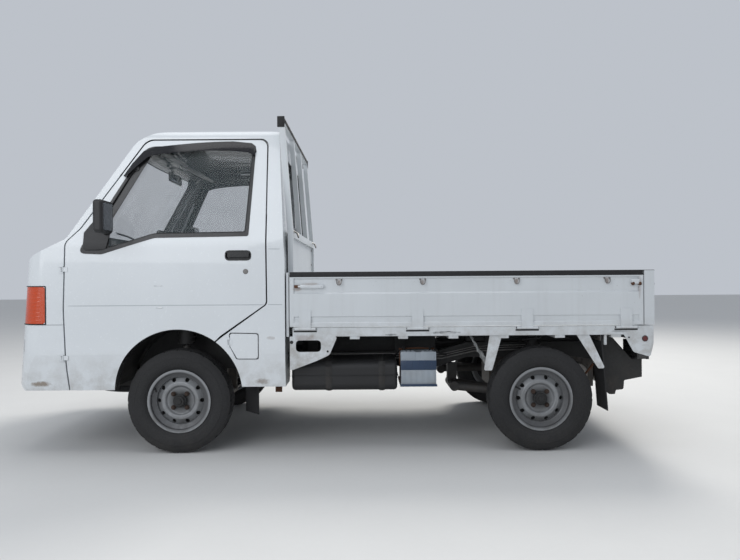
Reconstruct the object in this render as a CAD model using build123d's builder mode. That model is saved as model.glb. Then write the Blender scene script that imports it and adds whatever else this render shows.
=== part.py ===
from build123d import *

import os
from math import cos, radians, sin, sqrt

os.makedirs("parts", exist_ok=True)

# A light cab-over pickup with drop sides. Millimetres, +X forward, +Y to the vehicle's left, +Z up.
# The origin is on the ground, in the middle of the vehicle's length and width.

# Overall sizes
LENGTH = 3395.0
WIDTH = 1475.0
WHEELBASE = 1885.0
FRONT_OVERHANG = 910.0
TRACK = 1280.0
BODY_BOTTOM = 335.0
QUARTER_BOTTOM = 348.0  # of the cab side behind the front wheel
HALF_WIDTH = WIDTH / 2
FRONT_END_X = LENGTH / 2
FRONT_AXLE_X = FRONT_END_X - FRONT_OVERHANG
REAR_AXLE_X = FRONT_AXLE_X - WHEELBASE
SEAM = 5.0  # gap round gates and lids
DOOR_SEAM = 7.5  # wider, as the door's deep inner edge swings out
FIT = 0.3  # gap between pieces that seat on each other
RUN = 0.08  # radial clearance of a pin that turns or slides in its bore

# Wheels
TYRE_R = 270.0
TYRE_W = 145.0
BEAD_R = 153.0
FLANGE_R = 165.0
RIM_HALF_W = 56.0
RIM_WALL = 5.0
WELL_R = 128.0
VENT_COUNT = 10
VENT_PITCH_R = 112.0
VENT_R = 11.0
NUT_COUNT = 4
NUT_PITCH_R = 50.0
NUT_R = 12.0
HUB_R = 34.0
STUB_R = 16.0
WHEEL_Y = TRACK / 2

# Steering
KINGPIN_Y = 540.0
STEERING_ARM = 120.0
STEERING_ARM_Z = 215.0

# Rack, knuckles and struts
RACK_X = FRONT_AXLE_X - 110.0  # midway between the arm eyes' straight and turned places
RACK_Z = 192.0
RACK_R = 9.0
RACK_HOUSING_R = 20.0
ARM_Z = 180.0
KNUCKLE_R = 20.0
KNUCKLE_PIN_R = 8.0
KNUCKLE_TOP_Z = 546.0
STRUT_R = 42.0
DRUM_W = 42.0
STUB_END_Y = 14.0

# Spare wheel
SPARE_X = 1225.0
SPARE_Z = 312.0
SPARE_SEAT = 46.0

# Cab outline, seen from the side: the front curve on the centre line
BOW_R = 3800.0  # plan radius of the nose at the bumper
BOW_AXIS_X = FRONT_END_X - BOW_R
ROOF_Z = 1722.0
FRONT_CURVE = (
    # behind the front end, height, corner radius
    (55.0, BODY_BOTTOM, 8.0),
    (-1.2, 390.0, 40.0),
    (44.0, 1008.0, 115.0),
    (268.0, 1118.0, 60.0),
    (612.0, 1640.0, 140.0),
    (700.0, 1688.0, 200.0),
    (850.0, 1712.0, 600.0),
)
CAB_BACK_X = 228.0
BACK_LEAN = 44.0  # how far the roof's rear edge stands ahead of the wall's foot
BACK_BEND_Z = 1000.0

# Cab section, seen from the front: half width, height, corner radius
ROOF_CROWN = 22.0
CAB_SECTION = (
    (712.0, BODY_BOTTOM - 50.0, 0.0),
    (HALF_WIDTH, 520.0, 0.0),
    (HALF_WIDTH, 1090.0, 160.0),
    (600.0, ROOF_Z - ROOF_CROWN, 50.0),
)
CROWN_R = 8000.0
NOSE_CORNER_R = 125.0
NOSE_CORNER_LEAN = 0.07  # how far the rounded corner leans back per unit of height

# Cab walls and the planes where its panels meet
FRONT_WALL = 42.0
SIDE_WALL = 65.0
ROOF_WALL = 40.0
BACK_WALL = 35.0
BUMPER_TOP_Z = 676.0
COWL_SPLIT_Z = 1160.0
ROOF_SPLIT_Z = 1658.0
SIDE_SPLIT_Y = 540.0
WINDSCREEN = (
    # half width, height, corner radius
    (655.0, COWL_SPLIT_Z, 60.0),
    (565.0, 1600.0, 75.0),
)
REAR_WINDOW = (
    (470.0, 1170.0, 45.0),
    (445.0, 1570.0, 60.0),
)
GLASS_INSET = 18.0
GLASS = 5.0

# Front wheel arch
ARCH_X = FRONT_AXLE_X - 5.0
ARCH_Z = 318.0
ARCH_R = 328.0

# Door outline, seen from the side
DOOR_FRONT_X = 1352.0
DOOR_BULGE = 11.0
DOOR_REAR_X = 325.0
DOOR_TOP_Z = 1645.0
DOOR_KNEE_Z = 776.0
PILLAR_SLOPE = 1.525
PILLAR_FOOT_X = 1306.0
DOOR_HINGE_X = 1368.0
DOOR_HINGE_Y = HALF_WIDTH + 2.5
WINDOW = (
    # X, Z, corner radius
    (1262.0, 1056.0, 12.0),
    (1172.0, 1056.0, 60.0),
    (905.0, 1140.0, 120.0),
    (430.0, 1146.0, 14.0),
    (402.0, 1604.0, 55.0),
    (968.0, 1604.0, 90.0),
)

# Cab floor: a footwell ahead of the wheels and a raised seat platform over them
FLOOR = 28.0
FOOTWELL_Z = 420.0
PLATFORM_Z = 690.0
STEP_X = 1132.0

# Load bed
GATE_FRONT_X = 205.0
GATE_REAR_X = -1619.0
TAILGATE_X = -1624.0  # inner face
TAILGATE_T = 52.0
TAIL_HINGE_X = TAILGATE_X - TAILGATE_T - 4.0
DECK_Z = 650.0
DECK_T = 10.0
SILL_BOTTOM_Z = 605.0
SILL_Y = 724.0  # outer face of the side sill
SILL_T = 30.0
GATE_Y = 728.0  # outer face of a closed side gate
GATE_T = 42.0
GATE_BOTTOM_Z = 656.0
GATE_TOP_Z = 936.0
HINGE_Z = 644.0
HINGE_Y = 732.0
HINGE_PIN_R = 3.5
HINGE_EYE_R = 7.0
HINGE_EYE_L = 60.0
HINGE_EAR_L = 24.0
GATE_HINGES_X = (125.0, -455.0, -1020.0, -1530.0)
TAIL_HINGES_Y = (-520.0, 0.0, 520.0)
HEADBOARD_X = (190.0, 222.0)
GUARD_PANEL_Z = 1145.0
GUARD_TOP_Z = 1765.0
GUARD_HALF_W = 645.0
GUARD_FRONT_X = 222.0
GUARD_SLOPE = 0.075
GUARD_T = 28.0

# Ladder frame
RAIL_Y = 325.0
RAIL_W = 50.0
RAIL_H = 85.0
RAIL_LINE = (
    # X, height of the rail's underside
    (1560.0, 300.0),
    (1130.0, 300.0),
    (1000.0, 400.0),
    (-600.0, 400.0),
    (-760.0, 450.0),
    (-1360.0, 450.0),
    (-1600.0, 420.0),
)
CROSSMEMBERS_X = (1530.0, 677.5, -150.0, -640.0, -1560.0)


def corners(table):
    """Points and corner radii of an outline table whose last column is the radius."""
    return [row[:2] for row in table], [row[2] for row in table]


def prism(plane, table, amount):
    """Solid with a rounded outline, drawn on a plane and pushed out along its normal."""
    points, radii = corners(table)
    with BuildPart(mode=Mode.PRIVATE) as solid:
        with BuildSketch(plane):
            with BuildLine():
                FilletPolyline(*points, radius=radii, close=True)
            make_face()
        extrude(amount=amount)
    return solid.part


def side_prism(table, y_low, y_high):
    """Solid with an outline in X and Z, between two Y planes."""
    return prism(Plane.XZ.offset(-y_high), table, y_high - y_low)


def front_prism(table, x_low, x_high):
    """Solid with an outline in Y and Z, between two X planes."""
    return prism(Plane.YZ.offset(x_low), table, x_high - x_low)


def plan_prism(table, z_low, z_high):
    """Solid with an outline in X and Y, between two heights."""
    return prism(Plane.XY.offset(z_low), table, z_high - z_low)


def block(x_range, y_range, z_range):
    """Plain box between pairs of planes."""
    (x0, x1), (y0, y1), (z0, z1) = (sorted(pair) for pair in (x_range, y_range, z_range))
    centre = ((x0 + x1) / 2, (y0 + y1) / 2, (z0 + z1) / 2)
    return Pos(*centre) * Box(x1 - x0, y1 - y0, z1 - z0, mode=Mode.PRIVATE)


def rod(start, end, radius):
    """Round bar between two points."""
    a = Vector(*start)
    b = Vector(*end)
    with BuildPart(mode=Mode.PRIVATE) as bar:
        with BuildSketch(Plane(origin=a, z_dir=(b - a).normalized())):
            Circle(radius)
        extrude(amount=(b - a).length)
    return bar.part


def turned(table, centre=(0.0, 0.0, 0.0)):
    """Solid of revolution about a line along Y; the table holds radius, Y and corner radius."""
    points, radii = corners(table)
    with BuildPart(mode=Mode.PRIVATE) as solid:
        with BuildSketch(Plane.XY):
            with BuildLine():
                FilletPolyline(*points, radius=radii, close=True)
            make_face()
        revolve(axis=Axis.Y)
    return Pos(*centre) * solid.part


def both_sides(table):
    """Closed outline from its left half: the half, then its mirror image in reverse."""
    return list(table) + [(-y, z, r) for y, z, r in reversed(table)]


def sides(y_range):
    """A pair of Y ranges, one on each side of the vehicle."""
    return y_range, (-y_range[1], -y_range[0])


def cab_form(front=0.0, side=0.0, roof=0.0, back=0.0):
    """Solid within the cab's outer skin, with each surface moved in by its own inset."""
    bottom = BODY_BOTTOM - (100.0 if front or side else 0.0)
    curve = [(BOW_AXIS_X - FRONT_END_X + FRONT_CURVE[0][0], bottom, 0.0)]
    curve += [(BOW_AXIS_X - FRONT_END_X + x, z, r) for x, z, r in FRONT_CURVE]
    if bottom == BODY_BOTTOM:
        curve = curve[1:]
    points, radii = corners([(-x, z, r) for x, z, r in curve])
    with BuildPart(mode=Mode.PRIVATE) as form:
        with BuildSketch(Plane((BOW_AXIS_X, 0, 0), x_dir=(-1, 0, 0), z_dir=(0, 1, 0))):
            with BuildLine():
                FilletPolyline((1.0, bottom), *points, (1.0, ROOF_Z), radius=[0, *radii, 0],
                               close=True)
            make_face()
            if front:
                offset(amount=-front, kind=Kind.INTERSECTION)
        revolve(axis=Axis((BOW_AXIS_X, 0, 0), (0, 0, 1)))
        section = [(y - side, z, max(r - side, 0.0) if r > CAB_SECTION[-1][2] else r)
                   for y, z, r in CAB_SECTION]
        section[0] = (section[0][0], bottom - 50.0, 0.0)
        section[-1] = (section[-1][0], section[-1][1] - roof, section[-1][2])
        outline = section + [(0.0, ROOF_Z - roof, CROWN_R)]
        outline += [(-y, z, r) for y, z, r in reversed(section)]
        add(front_prism(outline, 0.0, LENGTH), mode=Mode.INTERSECT)
        rear = CAB_BACK_X + back
        side_outline = (
            (rear, bottom - 50.0, 0.0),
            (rear, BACK_BEND_Z, 900.0),
            (rear + BACK_LEAN, ROOF_Z + 20.0, 0.0),
            (LENGTH, ROOF_Z + 20.0, 0.0),
            (LENGTH, bottom - 50.0, 0.0),
        )
        add(side_prism(side_outline, -WIDTH, WIDTH), mode=Mode.INTERSECT)
        corner_x = BOW_AXIS_X + sqrt((BOW_R - front) ** 2 - (HALF_WIDTH - side) ** 2)
        centre_x = corner_x + (HALF_WIDTH - side) ** 2 / (corner_x - BOW_AXIS_X)
        plan = (
            (0.0, side - HALF_WIDTH, 0.0),
            (corner_x, side - HALF_WIDTH, NOSE_CORNER_R - side),
            (centre_x, 0.0, 0.0),
            (corner_x, HALF_WIDTH - side, NOSE_CORNER_R - side),
            (0.0, HALF_WIDTH - side, 0.0),
        )
        points, radii = corners(plan)
        base = BODY_BOTTOM - 150.0
        with BuildPart(mode=Mode.PRIVATE) as corner_form:
            with BuildSketch(Plane.XY.offset(base)):
                with BuildLine():
                    FilletPolyline(*points, radius=radii, close=True)
                make_face()
            rise = ROOF_Z - base + 50.0
            extrude(amount=rise * sqrt(1 + NOSE_CORNER_LEAN ** 2),
                    dir=(-NOSE_CORNER_LEAN, 0, 1))
        add(corner_form.part, mode=Mode.INTERSECT)
    return form.part


def door_outline(grow=0.0):
    """The door's outline seen from the side; grow gives the opening that it closes."""
    slope = PILLAR_SLOPE
    lean = grow * sqrt(1 + slope ** 2) / slope
    top = DOOR_TOP_Z + grow
    shoulder_z = 1172.0
    front_x = DOOR_FRONT_X + grow
    foot_x = PILLAR_FOOT_X - 29.0 + lean
    return (
        (1337.0 + grow, BODY_BOTTOM - 40.0, 0.0),
        (1350.0 + grow, 434.0, 300.0),
        (front_x + DOOR_BULGE, 750.0, 900.0),
        (front_x, 1098.0, 60.0),
        (foot_x, shoulder_z, 60.0),
        (foot_x - (top - shoulder_z) / slope, top, 70.0),
        (DOOR_REAR_X + 6.0 - grow, top, 40.0),
        (DOOR_REAR_X - grow, DOOR_KNEE_Z - 0.3 * grow, 30.0),
        (560.0 - grow, 614.0 - grow, 20.0),
        (ARCH_X - 100.0, 500.0, 0.0),
        (ARCH_X - 100.0, BODY_BOTTOM - 40.0, 0.0),
    )


# Cab skin: the outer form less the inner one, then divided where the panels meet
outer = cab_form()
inner = cab_form(FRONT_WALL, SIDE_WALL, ROOF_WALL, BACK_WALL)
behind_glass = cab_form(front=60.0, side=0.01)
glass_sheet = cab_form(GLASS_INSET, GLASS_INSET, 10.0, GLASS_INSET)
glass_sheet = glass_sheet - cab_form(GLASS_INSET + GLASS, GLASS_INSET + GLASS, 10.0,
                                     GLASS_INSET + GLASS)
shell = outer - inner
skin = outer - behind_glass

# ahead of the window the door stays outboard of the dashboard that it swings past
DOOR_NOSE_X = 1215.0
DOOR_NOSE_Y = 652.0
door_blank = side_prism(door_outline(), SIDE_SPLIT_Y, HALF_WIDTH + 20.0)
door_blank = door_blank - block((DOOR_NOSE_X, LENGTH), (0.0, DOOR_NOSE_Y), (0.0, ROOF_Z))
door_opening = side_prism(door_outline(DOOR_SEAM), SIDE_SPLIT_Y - 1.0, HALF_WIDTH + 20.0)
door_opening = door_opening - block((DOOR_NOSE_X + DOOR_SEAM, LENGTH), (0.0, DOOR_NOSE_Y - SEAM),
                                    (0.0, ROOF_Z))
arch_cutter = rod((ARCH_X, HALF_WIDTH + 20.0, ARCH_Z), (ARCH_X, -HALF_WIDTH - 20.0, ARCH_Z), ARCH_R)
windscreen_hole = front_prism(both_sides(WINDSCREEN), 900.0, LENGTH) & skin
windscreen_prism = front_prism(
    both_sides([(y - FIT, z + (FIT if z < ROOF_SPLIT_Z - 200.0 else -FIT), r) for y, z, r in WINDSCREEN]),
    900.0, LENGTH)
rear_window_hole = front_prism(both_sides(REAR_WINDOW), CAB_BACK_X - 20.0, 400.0)
rear_window_prism = front_prism(
    both_sides([(y - FIT, z + (FIT if z < 1400.0 else -FIT), r) for y, z, r in REAR_WINDOW]),
    CAB_BACK_X - 20.0, 400.0)
shell = shell - door_opening - mirror(door_opening, about=Plane.XZ) - arch_cutter
shell = shell - windscreen_hole - rear_window_hole

HEADLAMP = (
    (395.0, 712.0, 25.0),
    (598.0, 712.0, 30.0),
    (598.0, 862.0, 30.0),
    (410.0, 842.0, 30.0),
)
TURN_LAMP_Z = (680.0, 872.0)
TURN_LAMP_X = 1459.0
TURN_LAMP_R = 16.0
TURN_LAMP_Y = 612.0
LAMP_DEPTH = 26.0


def lamp_prism(side, shrink=0.0):
    """Block that bounds one headlamp, seen from the front."""
    table = [(side * (y + (shrink if y < 500.0 else -shrink)), z + (shrink if z < 750.0 else -shrink), r)
             for y, z, r in HEADLAMP]
    return front_prism(table, 1400.0, LENGTH)


def turn_lamp_block(side, shrink=0.0):
    """Block that bounds one corner lamp."""
    z_low, z_high = TURN_LAMP_Z
    table = (
        (LENGTH, z_low + shrink, 0.0),
        (LENGTH, z_high - shrink, 0.0),
        (TURN_LAMP_X + shrink, z_high - shrink, TURN_LAMP_R),
        (TURN_LAMP_X + shrink, z_low + shrink, TURN_LAMP_R),
    )
    return side_prism(table, *sorted((side * (TURN_LAMP_Y + shrink), side * WIDTH)))


lamp_pocket = outer - cab_form(front=LAMP_DEPTH, side=LAMP_DEPTH)
lamp_holes = lamp_prism(1) + lamp_prism(-1) + turn_lamp_block(1) + turn_lamp_block(-1)
lamp_holes = lamp_holes & lamp_pocket

# Front panel, from the bumper's top to the windscreen
DOOR_HINGES_Z = (505.0, 960.0)
DOOR_HINGE_L = 34.0
DOOR_EAR_L = 5.0
DOOR_EYE_R = 4.0
DOOR_PIN_R = 2.2


def door_hinge_pins(z):
    """Pins and ears of one hinge height, on both sides of the cab."""
    half = DOOR_HINGE_L / 2
    pins = rod((DOOR_HINGE_X, DOOR_HINGE_Y, z - half), (DOOR_HINGE_X, DOOR_HINGE_Y, z + half),
               DOOR_PIN_R)
    for low in (z - half, z + half - DOOR_EAR_L):
        ear = block((DOOR_HINGE_X - 3.0, DOOR_HINGE_X + 22.0),
                    (HALF_WIDTH - 30.0, DOOR_HINGE_Y + 3.0), (low, low + DOOR_EAR_L))
        pins = pins + (ear - block((0.0, DOOR_HINGE_X + 3.0), (0.0, HALF_WIDTH), (0.0, ROOF_Z)))
    return pins + mirror(pins, about=Plane.XZ)


def door_hinge_room(z):
    """Recesses in the cab's skin round the eyes of one hinge height."""
    half = DOOR_HINGE_L / 2 - DOOR_EAR_L
    room = block((DOOR_HINGE_X - 30.0, DOOR_HINGE_X + DOOR_EYE_R + SEAM),
                 (DOOR_HINGE_Y - DOOR_EYE_R - SEAM, WIDTH), (z - half, z + half))
    return room + mirror(room, about=Plane.XZ)


with BuildPart() as cab_front:
    add(shell & block((1200.0, LENGTH), (-WIDTH, WIDTH), (BUMPER_TOP_Z, COWL_SPLIT_Z)))
    add(lamp_holes, mode=Mode.SUBTRACT)
    add(door_hinge_room(DOOR_HINGES_Z[1]), mode=Mode.SUBTRACT)
    add(door_hinge_pins(DOOR_HINGES_Z[1]))

AIR_INTAKE = (
    # half width, height, corner radius
    (330.0, 432.0, 22.0),
    (345.0, 492.0, 22.0),
)
INTAKE_BARS_Z = (446.0, 462.0, 478.0)
INTAKE_DEPTH = 24.0
PLATE_HOLES_Y = 105.0
PLATE_HOLE_R = 3.5
FRONT_PLATE_Z = 585.0
with BuildPart() as front_bumper:
    add(shell & block((1200.0, LENGTH), (-WIDTH, WIDTH), (0.0, BUMPER_TOP_Z - 2.0)))
    intake = front_prism(both_sides(AIR_INTAKE), 1500.0, LENGTH) & (outer - cab_form(front=INTAKE_DEPTH))
    intake_bars = cab_form(front=5.0)
    for z in INTAKE_BARS_Z:
        intake = intake - (intake_bars & block((1500.0, LENGTH), (-400.0, 400.0), (z - 3.0, z + 3.0)))
    add(intake, mode=Mode.SUBTRACT)
    for y in (PLATE_HOLES_Y, -PLATE_HOLES_Y):
        add(rod((FRONT_END_X - 30.0, y, FRONT_PLATE_Z), (LENGTH, y, FRONT_PLATE_Z), PLATE_HOLE_R),
            mode=Mode.SUBTRACT)
    add(door_hinge_room(DOOR_HINGES_Z[0]), mode=Mode.SUBTRACT)
    add(door_hinge_pins(DOOR_HINGES_Z[0]))

roof_zone = block((0.0, LENGTH), (-WIDTH, WIDTH), (ROOF_SPLIT_Z, ROOF_Z + 50.0))
roof_zone = roof_zone + block((700.0, LENGTH), (-SIDE_SPLIT_Y, SIDE_SPLIT_Y), (1560.0, ROOF_SPLIT_Z))
with BuildPart() as cab_roof:
    add(shell & roof_zone)

with BuildPart() as cab_back:
    add(shell & block((0.0, 330.0), (-SIDE_SPLIT_Y, SIDE_SPLIT_Y), (600.0, ROOF_SPLIT_Z)))

FUEL_LID = (
    (511.0, 625.0, 12.0),
    (368.0, 621.0, 12.0),
    (368.0, 495.0, 12.0),
    (474.0, 496.0, 12.0),
    (511.0, 560.0, 12.0),
)
FUEL_LID_T = 5.0
FUEL_HINGE_X = 515.0
FUEL_HINGE_Y = HALF_WIDTH + 2.0
FUEL_PIN_R = 1.6
FUEL_CAP_X = 432.0
FUEL_CAP_Z = 562.0
FUEL_POCKET = 48.0


def widened(table, grow):
    """Outline with each point moved out from the outline's middle."""
    mid_x = sum(row[0] for row in table) / len(table)
    mid_z = sum(row[1] for row in table) / len(table)
    moved = []
    for x, z, r in table:
        moved.append((x + (grow if x > mid_x else -grow), z + (grow if z > mid_z else -grow), r))
    return moved


side_zone = block((0.0, LENGTH), (SIDE_SPLIT_Y, WIDTH), (0.0, ROOF_SPLIT_Z))
side_zone = side_zone - block((1200.0, LENGTH), (0.0, WIDTH), (0.0, COWL_SPLIT_Z))
side_zone = side_zone - block((0.0, ARCH_X), (0.0, WIDTH), (0.0, QUARTER_BOTTOM))
cab_side = shell & side_zone
with BuildPart() as cab_side_right:
    add(mirror(cab_side, about=Plane.XZ))

with BuildPart() as cab_side_left:
    add(cab_side)
    add(side_prism(widened(FUEL_LID, SEAM), HALF_WIDTH - FUEL_POCKET, WIDTH), mode=Mode.SUBTRACT)
    add(block((500.0, FUEL_HINGE_X + 7.0), (HALF_WIDTH - 7.0, WIDTH), (566.5, 593.5)), mode=Mode.SUBTRACT)
    add(rod((FUEL_CAP_X, HALF_WIDTH - FUEL_POCKET, FUEL_CAP_Z),
            (FUEL_CAP_X, HALF_WIDTH - 16.0, FUEL_CAP_Z), 30.0))
    for z_low, z_high in ((556.0, 566.0), (594.0, 604.0)):
        add(block((FUEL_HINGE_X - 3.0, FUEL_HINGE_X + 12.0), (HALF_WIDTH - 8.0, FUEL_HINGE_Y + 3.0),
                  (z_low, z_high)))
    add(rod((FUEL_HINGE_X, FUEL_HINGE_Y, 556.0), (FUEL_HINGE_X, FUEL_HINGE_Y, 604.0), FUEL_PIN_R))

with BuildPart() as fuel_lid:
    add(side_prism(FUEL_LID, HALF_WIDTH - FUEL_LID_T, HALF_WIDTH))
    add(rod((FUEL_HINGE_X, FUEL_HINGE_Y, 567.0), (FUEL_HINGE_X, FUEL_HINGE_Y, 593.0), 3.0))
    add(block((500.0, FUEL_HINGE_X), (HALF_WIDTH - 0.8, HALF_WIDTH + 1.5), (567.0, 593.0)))
    add(rod((FUEL_HINGE_X, FUEL_HINGE_Y, 560.0), (FUEL_HINGE_X, FUEL_HINGE_Y, 600.0), FUEL_PIN_R + RUN),
        mode=Mode.SUBTRACT)

# Fixed glass
with BuildPart() as windscreen:
    add(glass_sheet & windscreen_prism)
with BuildPart() as rear_window:
    add(glass_sheet & rear_window_prism)

# Lamps
with BuildPart() as headlamps:
    for side in (1, -1):
        add(lamp_prism(side, FIT) & lamp_pocket & cab_form(front=3.0))
with BuildPart() as turn_lamps:
    for side in (1, -1):
        add((turn_lamp_block(side, FIT) & lamp_pocket) - lamp_prism(side, -1.0))

# Doors, as deep as the whole wall, with the window cut through
door_window = side_prism(WINDOW, SIDE_SPLIT_Y - 10.0, WIDTH)
shrunk_window = side_prism(
    [(x + (FIT if x < 700.0 else -FIT), z + (FIT if z < 1300.0 else -FIT), r) for x, z, r in WINDOW],
    SIDE_SPLIT_Y - 10.0, WIDTH)
HANDLE = (
    (403.0, 1004.0, 20.0),
    (530.0, 1004.0, 20.0),
    (530.0, 1048.0, 20.0),
    (403.0, 1048.0, 20.0),
)
HANDLE_DEPTH = 22.0
MIRROR_X = (1094.0, 1146.0)
MIRROR_Y = (762.0, 905.0)
MIRROR_Z = (1137.0, 1301.0)

with BuildPart() as door_left:
    add((outer - inner) & door_blank)
    add(arch_cutter, mode=Mode.SUBTRACT)
    add(door_window, mode=Mode.SUBTRACT)
    add(side_prism(HANDLE, HALF_WIDTH - HANDLE_DEPTH, WIDTH), mode=Mode.SUBTRACT)
    add(side_prism([(x + (8.0 if x < 450.0 else -8.0), z + (14.0 if z < 1020.0 else -2.0), 6.0)
                    for x, z, r in HANDLE], HALF_WIDTH - HANDLE_DEPTH, HALF_WIDTH - 3.0))
    for z in DOOR_HINGES_Z:
        half = DOOR_HINGE_L / 2 - DOOR_EAR_L - 0.5
        add(rod((DOOR_HINGE_X, DOOR_HINGE_Y, z - half), (DOOR_HINGE_X, DOOR_HINGE_Y, z + half),
                DOOR_EYE_R))
        add(block((DOOR_HINGE_X - 26.0, DOOR_HINGE_X), (HALF_WIDTH - 1.5, HALF_WIDTH + 2.5),
                  (z - half, z + half)))
        add(rod((DOOR_HINGE_X, DOOR_HINGE_Y, z - half - 1.0), (DOOR_HINGE_X, DOOR_HINGE_Y, z + half + 1.0),
                DOOR_PIN_R + RUN), mode=Mode.SUBTRACT)

with BuildPart() as door_right:
    add(mirror(door_left.part, about=Plane.XZ))

with BuildPart() as door_glass_left:
    add(glass_sheet & shrunk_window)
with BuildPart() as door_glass_right:
    add(mirror(door_glass_left.part, about=Plane.XZ))

# Mirrors on the doors, with their mounting patches
MIRROR_PATCH = (
    (1262.0, 1150.0, 8.0),
    (1262.0, 1060.0, 8.0),
    (1145.0, 1062.0, 20.0),
    (1125.0, 1150.0, 30.0),
    (1150.0, 1300.0, 10.0),
)
with BuildPart() as mirror_left:
    add(block(MIRROR_X, MIRROR_Y, MIRROR_Z))
    fillet(mirror_left.edges(), 18.0)
    add(rod((1176.0, 650.0, 1118.0), (1124.0, 790.0, 1172.0), 13.0))
    add(side_prism(MIRROR_PATCH, 600.0, 760.0) & cab_form(side=-3.0))
    add(outer, mode=Mode.SUBTRACT)
with BuildPart() as mirror_right:
    add(mirror(mirror_left.part, about=Plane.XZ))


# Cab floor: the footwell, the step up to the seats, the platform and the wheelhouses
LINER_R = 340.0
LINER_T = 6.0
LINER_Y = (400.0, 648.0)
FLOOR_Y = LINER_Y[1]
SKIN_Y = HALF_WIDTH - SIDE_WALL
PLATFORM_T = 28.0
FLOOR_REAR_X = STEP_X - 6.0
with BuildPart() as cab_floor:
    add(block((FLOOR_REAR_X, LENGTH), (-WIDTH, WIDTH), (FOOTWELL_Z - FLOOR, FOOTWELL_Z)) & inner)
    add(block((FLOOR_REAR_X, STEP_X + 24.0), (-WIDTH, WIDTH), (FOOTWELL_Z - FLOOR, PLATFORM_Z)) & inner)
    add(block((CAB_BACK_X + BACK_WALL, STEP_X + 24.0), (-WIDTH, WIDTH),
              (PLATFORM_Z - PLATFORM_T, PLATFORM_Z)) & inner)
    for y_low, y_high in ((1, 1), (-1, -1)):
        y0, y1 = LINER_Y[0] * y_low, LINER_Y[1] * y_high
        liner = rod((ARCH_X, y0, ARCH_Z), (ARCH_X, y1, ARCH_Z), LINER_R + LINER_T)
        liner = liner - rod((ARCH_X, y0, ARCH_Z), (ARCH_X, y1, ARCH_Z), LINER_R)
        add(liner & block((0.0, LENGTH), (-WIDTH, WIDTH), (BODY_BOTTOM + 12.0, PLATFORM_Z)))
    for y_low, y_high in sides((FLOOR_Y, WIDTH)):
        # the open door's inner edge needs room beside the floor
        add(block((DOOR_REAR_X - DOOR_SEAM, DOOR_HINGE_X), (y_low, y_high), (0.0, ROOF_Z)),
            mode=Mode.SUBTRACT)
    add(rod((SPARE_X, 0, SPARE_Z - 30.0), (SPARE_X, 0, FOOTWELL_Z - FLOOR + 1.0), 9.0))
    add(rod((SPARE_X, 0, SPARE_Z + SPARE_SEAT), (SPARE_X, 0, FOOTWELL_Z - FLOOR + 1.0), 30.0))

# Dashboard with the steering column
COLUMN_Y = -330.0
WHEEL_CENTRE = (1066.0, COLUMN_Y, 1118.0)
COLUMN_TILT = 52.0  # of the column below the horizontal, forwards
STEERING_R = 180.0
STEERING_GRIP_R = 13.0
SHAFT_R = 11.0
column_dir = (cos(radians(COLUMN_TILT)), 0.0, -sin(radians(COLUMN_TILT)))


def on_column(distance):
    """Point on the steering column's axis, measured from the wheel's centre."""
    return tuple(c + distance * d for c, d in zip(WHEEL_CENTRE, column_dir))


DASH = (
    (1700.0, 1120.0, 0.0),
    (1395.0, 1120.0, 40.0),
    (1262.0, 1068.0, 45.0),
    (1268.0, 900.0, 30.0),
    (1400.0, 780.0, 40.0),
    (1700.0, 780.0, 0.0),
)
DASH_Y = 640.0
DASH_FRONT_X = 1560.0
with BuildPart() as dashboard:
    add(side_prism(DASH, -DASH_Y, DASH_Y) & inner)
    add(block((DASH_FRONT_X, LENGTH), (-WIDTH, WIDTH), (0.0, ROOF_Z)), mode=Mode.SUBTRACT)
    add(block((1400.0, LENGTH), (-480.0, 480.0), (900.0, 940.0)) & inner)
    add(rod(on_column(120.0), on_column(330.0), 32.0))
    add(rod(on_column(300.0), on_column(560.0), 18.0))
    add(rod(on_column(119.0), on_column(240.0), SHAFT_R + RUN), mode=Mode.SUBTRACT)

# Steering wheel
with BuildPart() as steering_wheel:
    with BuildSketch(Plane(origin=WHEEL_CENTRE, x_dir=(0, 1, 0), z_dir=column_dir)):
        Circle(46.0)
    extrude(amount=38.0)
    rim_ring = Torus(STEERING_R, STEERING_GRIP_R, mode=Mode.PRIVATE)
    add(Plane(origin=WHEEL_CENTRE, x_dir=(0, 1, 0), z_dir=column_dir).location * rim_ring)
    add(rod(on_column(30.0), on_column(236.0), SHAFT_R))
    with BuildSketch(Plane(origin=on_column(4.0), x_dir=(0, 1, 0), z_dir=column_dir)):
        with PolarLocations((STEERING_R + 30.0) / 2, 3, start_angle=90.0):
            Rectangle(STEERING_R - 36.0, 30.0)
    extrude(amount=9.0)

# Two seats, each with a base and a back
SEAT_Y = 330.0
SEAT_W = 480.0
SEAT_BASE = (
    (470.0, PLATFORM_Z, 0.0),
    (900.0, PLATFORM_Z, 20.0),
    (935.0, 800.0, 50.0),
    (470.0, 775.0, 20.0),
)
SEAT_BACK = (
    (300.0, PLATFORM_Z, 0.0),
    (458.0, PLATFORM_Z, 0.0),
    (458.0, 800.0, 30.0),
    (386.0, 1285.0, 45.0),
    (296.0, 1272.0, 40.0),
)
with BuildPart() as seats:
    for y in (SEAT_Y, -SEAT_Y):
        for outline in (SEAT_BASE, SEAT_BACK):
            with BuildPart(mode=Mode.PRIVATE) as cushion:
                add(side_prism(outline, y - SEAT_W / 2, y + SEAT_W / 2))
                fillet(cushion.faces().filter_by(Axis.Y).edges().filter_by(
                    lambda e: e.center().Z > PLATFORM_Z + 5.0), 18.0)
            add(cushion.part)

# Ladder frame: two cranked rails and their crossmembers
def rail_outline():
    """Outline of a rail seen from the side."""
    low = [(x, z, 60.0) for x, z in RAIL_LINE]
    high = [(x, z + RAIL_H, 60.0) for x, z in reversed(RAIL_LINE)]
    low[0] = (*RAIL_LINE[0], 0.0)
    low[-1] = (*RAIL_LINE[-1], 0.0)
    high[0] = (*high[0][:2], 0.0)
    high[-1] = (*high[-1][:2], 0.0)
    return low + high


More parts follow.
